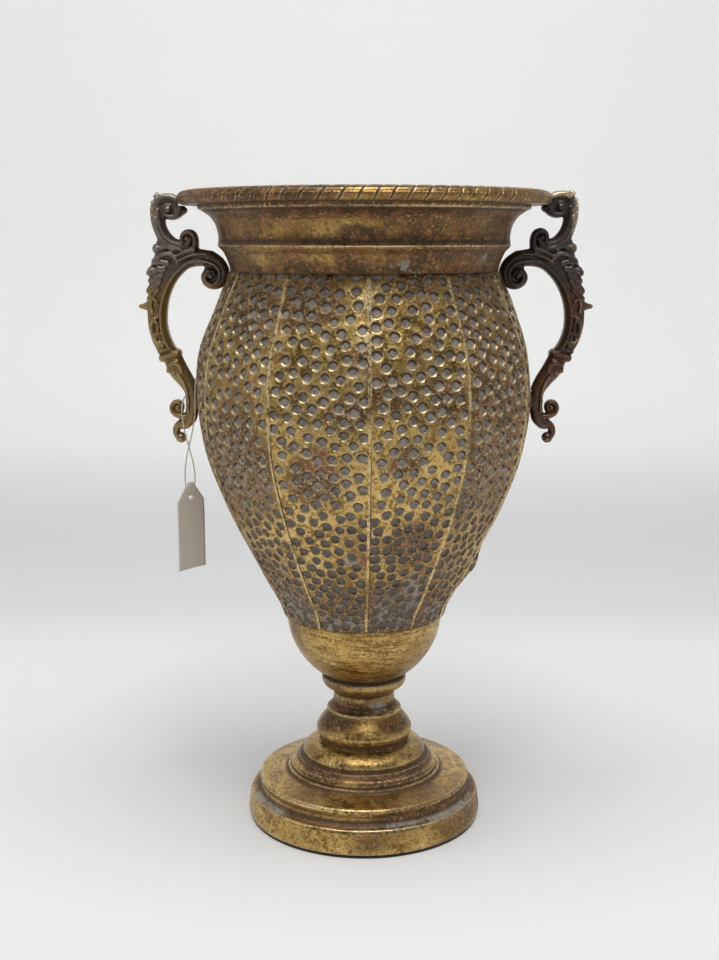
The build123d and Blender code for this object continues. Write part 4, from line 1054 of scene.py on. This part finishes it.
# Raised beads as (distance, height, radius, depth of the centre), at the edge or on both faces
BEADS = [
    (94.2, 349.0, 2.2, 4.6), (119.6, 388.8, 2.2, 4.4), (108.4, 371.4, 1.5, 4.2), (116.6, 267.6, 1.4, 3.8),
    (127.0, 365.4, 3.3, 0.0), (126.8, 365.4, 2.3, 2.8), (127.8, 357.4, 3.0, 1.8), (130.2, 351.6, 3.4, 1.4),
    (130.6, 346.0, 2.4, 2.0), (130.8, 340.8, 3.0, 1.6), (131.4, 335.2, 2.4, 1.8), (138.0, 330.2, 1.5, 0.0),
    (121.6, 366.4, 1.1, 4.0), (117.4, 361.4, 1.2, 4.0), (123.8, 350.6, 1.2, 4.0), (126.2, 354.2, 1.2, 3.8),
    (127.4, 345.0, 1.1, 3.8), (126.8, 340.4, 1.2, 3.8), (129.4, 343.2, 1.0, 3.8), (130.6, 336.8, 1.1, 3.8),
    (127.6, 323.6, 1.1, 4.2), (126.4, 313.6, 1.1, 4.4), (124.6, 306.2, 1.2, 4.6), (130.6, 327.4, 1.2, 3.6),
    (118.0, 290.2, 1.9, 4.8), (118.2, 291.6, 1.5, 5.0), (115.2, 248.3, 3.4, 0.6), (115.0, 248.0, 1.8, 2.6),
]
BEAD_LENGTH = 0.01
BEAD_FILLET = 0.45
# Ridges on both faces as a radius, a depth of the centre and points of (distance, height)
RIDGES = [
    (0.99, 6.0, [
        (95.3, 351.7), (97.2, 349.4), (96.6, 345.6), (92.8, 343.8), (89.2, 346.9), (88.8, 351.7),
        (91.6, 355.6), (97.0, 357.8), (102.6, 358.2), (108.2, 356.6), (113.0, 353.0), (117.4, 348.2),
        (121.0, 342.4), (124.2, 333.6), (125.4, 325.2), (125.0, 316.8), (123.2, 309.6), (120.8, 304.8),
    ]),
    (0.87, 5.1, [(97.0, 362.2), (104.6, 361.6), (110.4, 359.6), (114.4, 357.4)]),
    (0.87, 5.0, [(104.0, 364.8), (111.0, 362.8), (115.8, 360.6)]),
    (0.87, 5.0, [
        (125.4, 388.6), (125.2, 383.0), (124.0, 377.8), (121.4, 373.0), (117.4, 369.6), (111.6, 367.8),
    ]),
    (0.87, 4.8, [(127.2, 383.6), (126.0, 377.4), (123.4, 371.4), (118.8, 367.0), (112.0, 364.8)]),
    (1.5, 4.1, [(115.4, 359.6), (119.2, 362.2), (124.0, 361.4), (127.8, 358.2)]),
    (1.25, 4.2, [(117.4, 364.6), (120.4, 366.6), (124.0, 365.6)]),
    (1.75, 3.7, [(120.6, 356.6), (124.4, 357.4), (128.6, 357.0)]),
    (2.12, 3.4, [(122.8, 353.2), (127.2, 352.4), (131.8, 350.8)]),
    (1.62, 3.7, [(124.6, 348.8), (128.0, 348.0), (131.4, 346.0)]),
    (2.5, 3.1, [(126.0, 345.8), (128.8, 342.6), (131.8, 339.8)]),
    (2.12, 3.3, [(127.4, 340.6), (129.6, 337.6), (132.0, 335.0)]),
    (1.12, 4.6, [
        (129.4, 322.8), (127.6, 319.0), (128.0, 314.0), (129.4, 310.4), (131.0, 313.8), (131.2, 319.0),
        (129.4, 322.8),
    ]),
    (0.99, 4.8, [(129.6, 310.4), (127.4, 308.0), (124.6, 308.2), (124.0, 311.2)]),
    (0.99, 4.6, [(130.6, 327.2), (131.4, 331.4), (129.8, 335.2), (127.6, 333.0)]),
    (1.12, 5.4, [(113.4, 290.4), (114.6, 294.0), (117.8, 295.6), (121.2, 294.0), (121.8, 290.4)]),
    (0.87, 5.4, [(115.6, 289.4), (116.2, 292.4), (118.2, 293.4), (120.0, 292.0), (120.2, 289.2)]),
    (0.87, 5.3, [(114.6, 287.8), (112.2, 283.4), (110.4, 278.0), (109.8, 271.6), (110.0, 265.4)]),
]
RIDGE_FILLET = 0.9
# Leaf lobes along the top arm's outer edge as (inner point, outer point)
LEAF_LOBES = [
    ((125.4, 394.6), (127.6, 397.0)), ((126.2, 390.6), (129.2, 393.2)), ((126.6, 386.8), (129.8, 389.4)),
    ((126.8, 383.0), (129.6, 385.6)), ((126.4, 379.4), (128.8, 382.0)), ((125.6, 376.0), (127.6, 378.4)),
    ((122.6, 396.2), (121.4, 397.4)), ((118.4, 396.8), (117.2, 397.4)), ((114.6, 395.2), (113.0, 395.8)),
]
LOBE_INNER = 1.5
LOBE_OUTER = 1.3
LOBE_DEPTH = 5.0
LOBE_FILLET = 0.3
# Outline of the collar, and the room that the rope rim takes up
COLLAR_HEIGHTS = (349.0, 352.2, 366.6, 369.2, 381.0, 388.5, 391.5)
COLLAR_RADII = (80.0, 82.4, 89.2, 90.0, 91.8, 99.8, 101.8)
PANEL_TOP_EDGE = 4
PANEL_TOP_CLEARANCE = 0.8
ROPE_ROOM_RADIUS = 114.0
ROPE_ROOM_HEIGHTS = (391.2, 400.4)
BRONZE_FLECK = (0.15, 0.115, 0.085, 1.0)
BRONZE_RUBBED = (0.26, 0.215, 0.18, 1.0)
GILT_DULL = (0.36, 0.25, 0.1, 1.0)
GILT_BRIGHT = (0.74, 0.54, 0.31, 1.0)
GRIME_BLACK = (0.012, 0.009, 0.008, 1.0)
LEFT_DARK = (0.145, 0.117, 0.1, 1.0)
LEFT_WARM = (0.21, 0.132, 0.068, 1.0)
RIGHT_DARK = (0.07, 0.062, 0.06, 1.0)
RIGHT_WARM = (0.14, 0.065, 0.04, 1.0)
BOW_HEIGHT = 322.0
BOW_SPREAD = 34.0
BOW_STARTS = (96.0, 112.0)
LIFT_HEIGHTS = (355.0, 394.0)
EDGE_GILT_FROM = (124.5, 128.0)
EDGE_GILT_HEIGHTS = (368.0, 376.0)
TOP_GILT_HEIGHTS = (394.5, 397.0)
LOW_GILT_HEIGHTS = (352.0, 315.0)
# Heights over which the bronze turns warmer below: partly its own colour, partly painted light on the lower
# half
WARM_HEIGHTS = (352.0, 335.0)
LEAST_WARM = 0.1
SOFTENED_OVER = 3
SOFTENED_TIMES = 2
RAISED_FROM = 0.12
RAISED_OVER = 0.8
SUNK_FROM = 0.05
SUNK_OVER = 0.6


def spine(rows):
    """Rows of a table run through as a smooth curve at short steps."""
    rows = np.array(rows, dtype=float)
    stops = np.concatenate([[0.0], np.cumsum(np.hypot(*np.diff(rows[:, :2], axis=0).T))])
    at = np.linspace(0.0, stops[-1], max(2, math.ceil(stops[-1] / SPINE_STEP)))
    if len(rows) == 2:
        return np.stack([np.interp(at, stops, column) for column in rows.T], axis=-1)
    return np.stack([smooth(at, stops, column) for column in rows.T], axis=-1)


cells = [np.arange(low, high, HANDLE_CELL) for low, high in zip(HANDLE_LOW, HANDLE_HIGH)]
form = np.full([len(cell) for cell in cells], NO_METAL, dtype=np.float32)
deep = np.abs(cells[1])[None, :, None]


def window(rows, margin):
    """Part of the grid round some points, as slices of x and z."""
    parts = []
    for cell, values in ((cells[0], rows[:, 0]), (cells[2], rows[:, 1])):
        parts.append(slice(*np.searchsorted(cell, [values.min() - margin, values.max() + margin])))
    return parts


def nearest(rows, part):
    """Distance in the handle's plane to a curve, and the curve's other columns at the nearest point."""
    x, z = np.meshgrid(cells[0][part[0]], cells[2][part[1]], indexing="ij")
    best = np.full(x.shape, np.inf)
    found = [np.zeros(x.shape) for _ in range(rows.shape[1] - 2)]
    for a, b in zip(rows, rows[1:]):
        run = b[:2] - a[:2]
        t = np.clip(((x - a[0]) * run[0] + (z - a[1]) * run[1]) / max(run @ run, 1e-9), 0.0, 1.0)
        away = np.hypot(x - a[0] - t * run[0], z - a[1] - t * run[1])
        closer = away < best
        best = np.where(closer, away, best)
        for k in range(len(found)):
            found[k] = np.where(closer, a[2 + k] + t * (b[2 + k] - a[2 + k]), found[k])
    return best[:, None, :], [column[:, None, :] for column in found]


def join(part, field, fillet):
    """Union of the handle so far with one more form, with a small fillet where they meet."""
    here = form[part[0], :, part[1]]
    share = np.clip(0.5 + 0.5 * (here - field) / fillet, 0.0, 1.0)
    form[part[0], :, part[1]] = here + (field - here) * share - fillet * share * (1 - share)


def add_wire(rows, radius, depth, fillet):
    """Join a round wire to both faces of the handle, with its centre at that depth."""
    part = window(rows, radius + GROW_MARGIN)
    away, _ = nearest(rows, part)
    join(part, np.hypot(away, deep - depth) - radius, fillet)


for table, square, fillet in BARS:
    rows = spine(table)
    part = window(rows, rows[:, 2].max() + GROW_MARGIN)
    away, (wide, thick) = nearest(rows, part)
    share = (away / wide) ** square + (deep / thick) ** square
    join(part, (share ** (1 / square) - 1) * np.minimum(wide, thick), fillet)
for x, z, radius, depth in BEADS:
    add_wire(np.array([(x, z), (x, z + BEAD_LENGTH)]), radius, depth, BEAD_FILLET)
for radius, depth, points in RIDGES:
    add_wire(spine(points), radius, depth, RIDGE_FILLET)
for inner, outer in LEAF_LOBES:
    rows = np.array([(*inner, LOBE_INNER), (*outer, LOBE_OUTER)])
    part = window(rows, GROW_MARGIN + LOBE_INNER)
    away, (wide,) = nearest(rows, part)
    join(part, (np.hypot(away / wide, deep / LOBE_DEPTH) - 1) * wide, LOBE_FILLET)


def cut_to_body(field, side):
    """Handle on one side without what the panels, the collar and the rim take up."""
    x, y, z = np.meshgrid(*cells, indexing="ij", sparse=True)
    radius, azimuth = np.hypot(x, y), np.arctan2(y, side * x)
    turn = (azimuth - FIRST_SEAM) % PANEL_PITCH - PANEL_PITCH / 2
    height = np.clip(z - PANEL_FOOT, 0.0, STATION_HEIGHTS[-1])
    at_top = z > PANEL_FOOT + STATION_HEIGHTS[-1] - PANEL_TOP_EDGE
    body = gore_radius(height, turn) + np.where(at_top, PANEL_TOP_CLEARANCE, HANDLE_CLEARANCE)
    collar_line = np.interp(z, COLLAR_HEIGHTS, COLLAR_RADII) + HANDLE_CLEARANCE
    solid = radius - np.maximum(body, np.where(z > COLLAR_HEIGHTS[1], collar_line, 0.0))
    low, high = ROPE_ROOM_HEIGHTS
    rope_room = np.maximum(np.maximum(radius - ROPE_ROOM_RADIUS, low - z), z - high)
    return np.maximum(field, -np.minimum(solid, rope_room)).astype(np.float32)


def surface_net(field):
    """Points in grid cells and faces of the surface where the field changes sign."""
    inside = field < 0
    corners = [(i, j, k) for i in (0, 1) for j in (0, 1) for k in (0, 1)]
    size = np.array(field.shape) - 1
    filled = np.zeros(size, dtype=np.int8)
    for i, j, k in corners:
        filled += inside[i:i + size[0], j:j + size[1], k:k + size[2]]
    crossed = (filled > 0) & (filled < len(corners))
    cell = np.argwhere(crossed)
    ids = np.full(crossed.shape, -1)
    ids[crossed] = np.arange(len(cell))
    total, hits = np.zeros(cell.shape), np.zeros(len(cell))
    for a in corners:
        for axis in range(3):
            if a[axis]:
                continue
            b = tuple(value + (n == axis) for n, value in enumerate(a))
            fa, fb = field[tuple((cell + a).T)], field[tuple((cell + b).T)]
            cut = (fa < 0) != (fb < 0)
            t = np.where(cut, fa / np.where(cut, fa - fb, 1.0), 0.0)
            total += np.where(cut[:, None], np.array(a) + t[:, None] * np.eye(3)[axis], 0.0)
            hits += cut
    faces = []
    for axis in range(3):
        u, v = (axis + 1) % 3, (axis + 2) % 3
        first, second = [slice(None)] * 3, [slice(None)] * 3
        first[axis], second[axis] = slice(0, -1), slice(1, None)
        edge = np.argwhere(inside[tuple(first)] != inside[tuple(second)])
        edge = edge[(edge[:, u] > 0) & (edge[:, v] > 0) & (edge[:, u] < size[u]) & (edge[:, v] < size[v])]
        quad = []
        for du, dv in ((0, 0), (1, 0), (1, 1), (0, 1)):
            step_back = np.zeros(3, dtype=int)
            step_back[u], step_back[v] = du, dv
            quad.append(ids[tuple((edge - step_back).T)])
        quad = np.stack(quad, axis=-1)
        away = inside[tuple(edge.T)]
        faces.append(np.where(away[:, None], quad, quad[:, ::-1]))
    return cell + total / hits[:, None], np.concatenate(faces), cell


def softened(field, distance, times):
    """Field blurred a little along each of its axes."""
    for _ in range(times):
        for axis in range(3):
            field = (np.roll(field, distance, axis) + 2 * field + np.roll(field, -distance, axis)) / 4
    return field


def bronze_material(name, gilding, dark, warmth, warm_amount):
    """Dark cast bronze, warmer where it is marked so, with gilt rubbed onto raised work and gilt marks."""
    material, tree, surface = new_material(name)
    place = object_place(tree)
    wear, hollow, gilt, warm = (mark(tree, label) for label in ("wear", "hollow", "gilt", "warm"))
    broad = noise(tree, place, 70.0, 4.0, 0.6)
    fine = noise(tree, place, 420.0, 4.0, 0.7)
    grain = noise(tree, place, 1150.0, 2.0, 0.7)
    warmed = step(tree, weighed(tree, 0.0, (broad, 0.6), (fine, 0.3), (warm, warm_amount)), 0.45, 0.75)
    colour = tint(tree, warmed, dark, warmth)
    colour = tint(tree, maths(tree, "MULTIPLY", step(tree, grain, 0.45, 0.65), 0.45), colour, BRONZE_FLECK)
    brightened = weighed(tree, gilding, (wear, 0.4), (gilt, 0.4), (fine, 0.6), (broad, 0.4), (grain, 0.3))
    brightened = maths(tree, "MULTIPLY", step(tree, brightened, 0.92, 1.25), 0.85)
    colour = tint(tree, brightened, colour, tint(tree, warmed, BRONZE_RUBBED, GILT_DULL))
    bright = weighed(tree, -0.1, (wear, 0.35), (gilt, 0.45), (fine, 0.7), (grain, 0.5))
    bright = maths(tree, "MULTIPLY", step(tree, bright, 0.82, 1.15), 0.75)
    colour = tint(tree, bright, colour, GILT_BRIGHT)
    grime = maths(tree, "MULTIPLY", step(tree, hollow, 0.2, 0.8), 0.85)
    feed(tree, surface, {
        "Base Color": tint(tree, grime, colour, GRIME_BLACK),
        "Roughness": weighed(tree, 0.3, (fine, 0.2), (grime, 0.25)),
        "Metallic": 0.85,
        **VARNISH,
    })
    rough_bump(tree, surface, weighed(tree, 0.0, (fine, 0.6), (grain, 0.4)), 0.5, 0.0005)
    return material


left_bronze = bronze_material("handle_bronze_left", gilding=0.31, dark=LEFT_DARK, warmth=LEFT_WARM,
                              warm_amount=0.32)
right_bronze = bronze_material("handle_bronze_right", gilding=0.08, dark=RIGHT_DARK, warmth=RIGHT_WARM,
                               warm_amount=0.2)
# Each handle's side, bronze, bow, lift of its top, and gilt above and below
HANDLES = {
    "handle_left": (-1, left_bronze, 0.0, 0.0, 0.6, 0.4),
    "handle_right": (1, right_bronze, 2.2, 1.6, 1.0, 0.15),
}
for node, (side, bronze, bow, lift, upper_gilt, lower_gilt) in HANDLES.items():
    field = cut_to_body(form, side)
    net, faces, cell = surface_net(field)
    raised = softened(field, SOFTENED_OVER, SOFTENED_TIMES)[tuple(cell.T)]
    x, y, z = (np.array(HANDLE_LOW) + HANDLE_CELL * net).T
    x = x + bow * np.exp(-(((z - BOW_HEIGHT) / BOW_SPREAD) ** 2)) * rise(x, *BOW_STARTS)
    z = z + lift * rise(z, *LIFT_HEIGHTS) * rise(x, *BOW_STARTS)
    edge_gilt = rise(x, *EDGE_GILT_FROM) * rise(z, *EDGE_GILT_HEIGHTS)
    top_gilt = rise(z, *TOP_GILT_HEIGHTS)
    gilt = np.maximum(upper_gilt * np.maximum(edge_gilt, top_gilt), lower_gilt * rise(z, *LOW_GILT_HEIGHTS))
    points = np.stack([side * x, y, z], axis=-1) * MM
    brightened = np.clip(raised / RAISED_OVER - RAISED_FROM, 0.0, 1.0)
    darkened = np.clip(-raised / SUNK_OVER - SUNK_FROM, 0.0, 1.0)
    # Warmer, golder lower half: partly the bronze's own colour, partly painted light
    warm = LEAST_WARM + (1 - LEAST_WARM) * rise(z, *WARM_HEIGHTS)
    handle = mesh_piece(f"scroll_{node}", points, faces[:, ::side], bronze, wear=brightened, hollow=darkened,
                        gilt=gilt, warm=warm)
    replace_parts(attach(handle, "urn"), node)

# Fasteners
# Plated steel: the rod, nuts and washers that clamp the stem, and the screws and washers that hold the
# handles from inside the body. They keep the shape that they have in the frame.
STEEL_DULL = (0.34, 0.34, 0.33, 1.0)
STEEL_BRIGHT = (0.6, 0.59, 0.56, 1.0)
steel, tree, surface = new_material("plated_steel")
haze = noise(tree, object_place(tree), 260.0, 4.0, 0.6)
feed(tree, surface, {
    "Base Color": tint(tree, haze, STEEL_DULL, STEEL_BRIGHT),
    "Roughness": weighed(tree, 0.25, (haze, 0.3)),
    "Metallic": 1.0,
})
rough_bump(tree, surface, haze, 0.15, 0.0004)
for node in ("tie_rod", "tie_washers", "tie_nuts", "handle_screws", "handle_washers"):
    for material_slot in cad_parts[node].material_slots:
        material_slot.material = steel

# Hang tag string
# Thin twisted cotton: one run is looped round the left handle's lower arm, and the other hangs from it,
# crosses itself, and goes through the hole of the card.
STRING_DIAMETER = 0.8 * MM
COTTON_SHADE = (0.42, 0.34, 0.26, 1.0)
COTTON_PALE = (0.74, 0.66, 0.55, 1.0)
COTTON_FIBRE = (0.8, 0.74, 0.64, 1.0)
LOOP_ROUTE = [
    (-0.1134, -0.0090, 0.2644),
    (-0.1129, -0.0078, 0.2728),
    (-0.1127, 0.0076, 0.2734),
    (-0.1086, 0.0088, 0.2808),
    (-0.1049, 0.0076, 0.2866),
    (-0.1045, -0.0074, 0.2864),
    (-0.1048, -0.0092, 0.2774),
    (-0.1052, -0.0090, 0.2644),
]
CORD_ROUTE = [
    (-0.1052, -0.0090, 0.2638),
    (-0.1070, -0.0082, 0.2530),
    (-0.1104, -0.0078, 0.2410),
    (-0.1127, -0.0072, 0.2280),
    (-0.1125, -0.0063, 0.2186),
    (-0.1119, -0.0069, 0.2127),
    (-0.1067, -0.0111, 0.2127),
    (-0.1061, -0.0117, 0.2186),
    (-0.1056, -0.0108, 0.2280),
    (-0.1084, -0.0102, 0.2410),
    (-0.1120, -0.0097, 0.2530),
    (-0.1134, -0.0090, 0.2638),
]


def string_piece(name, route, material):
    curve = bpy.data.curves.new(name, "CURVE")
    curve.dimensions = "3D"
    curve.bevel_depth = STRING_DIAMETER / 2
    curve.bevel_resolution = 4
    curve.resolution_u = 12
    spline = curve.splines.new("NURBS")
    spline.points.add(len(route) - 1)
    for point, place in zip(spline.points, route):
        point.co = (*place, 1.0)
    spline.order_u = 3
    spline.use_endpoint_u = True
    curve.materials.append(material)
    piece = bpy.data.objects.new(name, curve)
    scene.collection.objects.link(piece)
    return piece


cotton, tree, surface = new_material("cotton_string")
place = object_place(tree)
twist = put(tree, "TexWave", {"Vector": place, "Scale": 420.0, "Distortion": 3.0, "Detail": 1.0},
            bands_direction="DIAGONAL").outputs[1]
colour = tint(tree, twist, COTTON_SHADE, COTTON_PALE)
colour = tint(tree, noise(tree, place, 2600.0), colour, COTTON_FIBRE)
feed(tree, surface, {"Base Color": colour, "Roughness": 0.85})
rough_bump(tree, surface, twist, 0.5, 0.0002)

tag_loop = string_piece("tag_string_loop", LOOP_ROUTE, cotton)
tag_cord = string_piece("tag_string_run", CORD_ROUTE, cotton)
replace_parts(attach(tag_loop, "urn"), "tag_loop")
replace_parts(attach(tag_cord, "tag_string"), "tag_cord")

# Hang tag card
# A bare swing tag of stiff uncoated card, grey-beige, die-cut with two slanted corners and a round hole.
# It hangs in the bend of the string and is a little bowed.
CARD_HALF_WIDTH = 11.4
CARD_HEIGHT = 55.5
CARD_TOP = 9.4
CARD_SHOULDER = -2.4
CARD_TOP_HALF_WIDTH = 2.2
CARD_HALF_THICKNESS = 0.3
CARD_HOLE_RADIUS = 1.6
CARD_HOLE_STEPS = 24
CARD_BOW = 0.5
CARD_BOW_BELOW = (0.0, -14.0)
CARD_MESH = 1.5
CARD_MESH_CLEAR = 0.8
CARD_CORNER_SLANT = 0.82
CARD_HOLE_EDGE = 0.98
CARD_TURN = math.radians(51.07)
CARD_HOLE = (-109.3, -9.0, 211.8)
CARD_SHADE = (0.72, 0.65, 0.56, 1.0)
CARD_PALE = (0.93, 0.86, 0.77, 1.0)
CARD_CLOUD = (0.96, 0.9, 0.82, 1.0)


def stretch(a, b, count):
    """Points from a towards b, without b."""
    return [np.array(a) + (np.array(b) - np.array(a)) * k / count for k in range(count)]


card_foot = CARD_TOP - CARD_HEIGHT
right_edge = [
    (CARD_HALF_WIDTH, card_foot), (CARD_HALF_WIDTH, CARD_SHOULDER), (CARD_TOP_HALF_WIDTH, CARD_TOP),
]
corners = [(-CARD_HALF_WIDTH, card_foot)] + right_edge + [(-x, z) for x, z in right_edge[:0:-1]]
edge_points = []
for a, b in zip(corners, corners[1:] + corners[:1]):
    edge_points += stretch(a, b, math.ceil(math.dist(a, b) / CARD_MESH))
turns = np.linspace(0.0, 2 * math.pi, CARD_HOLE_STEPS, endpoint=False)
hole_points = list(CARD_HOLE_RADIUS * np.stack([np.cos(turns), np.sin(turns)], axis=-1))
fill = []
for x in np.arange(-CARD_HALF_WIDTH + CARD_MESH, CARD_HALF_WIDTH, CARD_MESH):
    for z in np.arange(card_foot + CARD_MESH, CARD_TOP - CARD_MESH, CARD_MESH):
        room = CARD_HALF_WIDTH - CARD_MESH_CLEAR - max(0.0, z - CARD_SHOULDER) * CARD_CORNER_SLANT
        if abs(x) < room and math.hypot(x, z) > CARD_HOLE_RADIUS + CARD_MESH_CLEAR:
            fill.append(np.array([x, z]))
loops = loop_edges(0, len(edge_points)) + loop_edges(len(edge_points), len(turns))
flat, faces = triangulated(edge_points + hole_points + fill, loops)
faces = faces[np.hypot(*flat[faces].mean(1).T) > CARD_HOLE_RADIUS * CARD_HOLE_EDGE]
bow = CARD_BOW * (1 - (flat[:, 0] / CARD_HALF_WIDTH) ** 2) - CARD_BOW
bow *= rise(flat[:, 1], *CARD_BOW_BELOW)


def card_side(offset):
    across, depth = flat[:, 0], bow + offset
    x = CARD_HOLE[0] + across * math.cos(CARD_TURN) - depth * math.sin(CARD_TURN)
    y = CARD_HOLE[1] + across * math.sin(CARD_TURN) + depth * math.cos(CARD_TURN)
    return np.stack([x, y, CARD_HOLE[2] + flat[:, 1]], axis=-1)


card_points = np.concatenate([card_side(-CARD_HALF_THICKNESS), card_side(CARD_HALF_THICKNESS)]) * MM
card_stock, tree, surface = new_material("uncoated_card")
place = object_place(tree)
pulp = noise(tree, place, 700.0, 6.0, 0.75)
cloud = maths(tree, "MULTIPLY", noise(tree, place, 60.0, 2.0), 0.35)
colour = tint(tree, cloud, tint(tree, pulp, CARD_SHADE, CARD_PALE), CARD_CLOUD)
feed(tree, surface, {"Base Color": colour, "Roughness": 0.8})
rough_bump(tree, surface, pulp, 0.25, 0.0002)
card = mesh_piece("hang_tag_card", card_points, sheet_faces(faces, len(flat)), card_stock)
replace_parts(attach(card, "tag"), "tag_card")
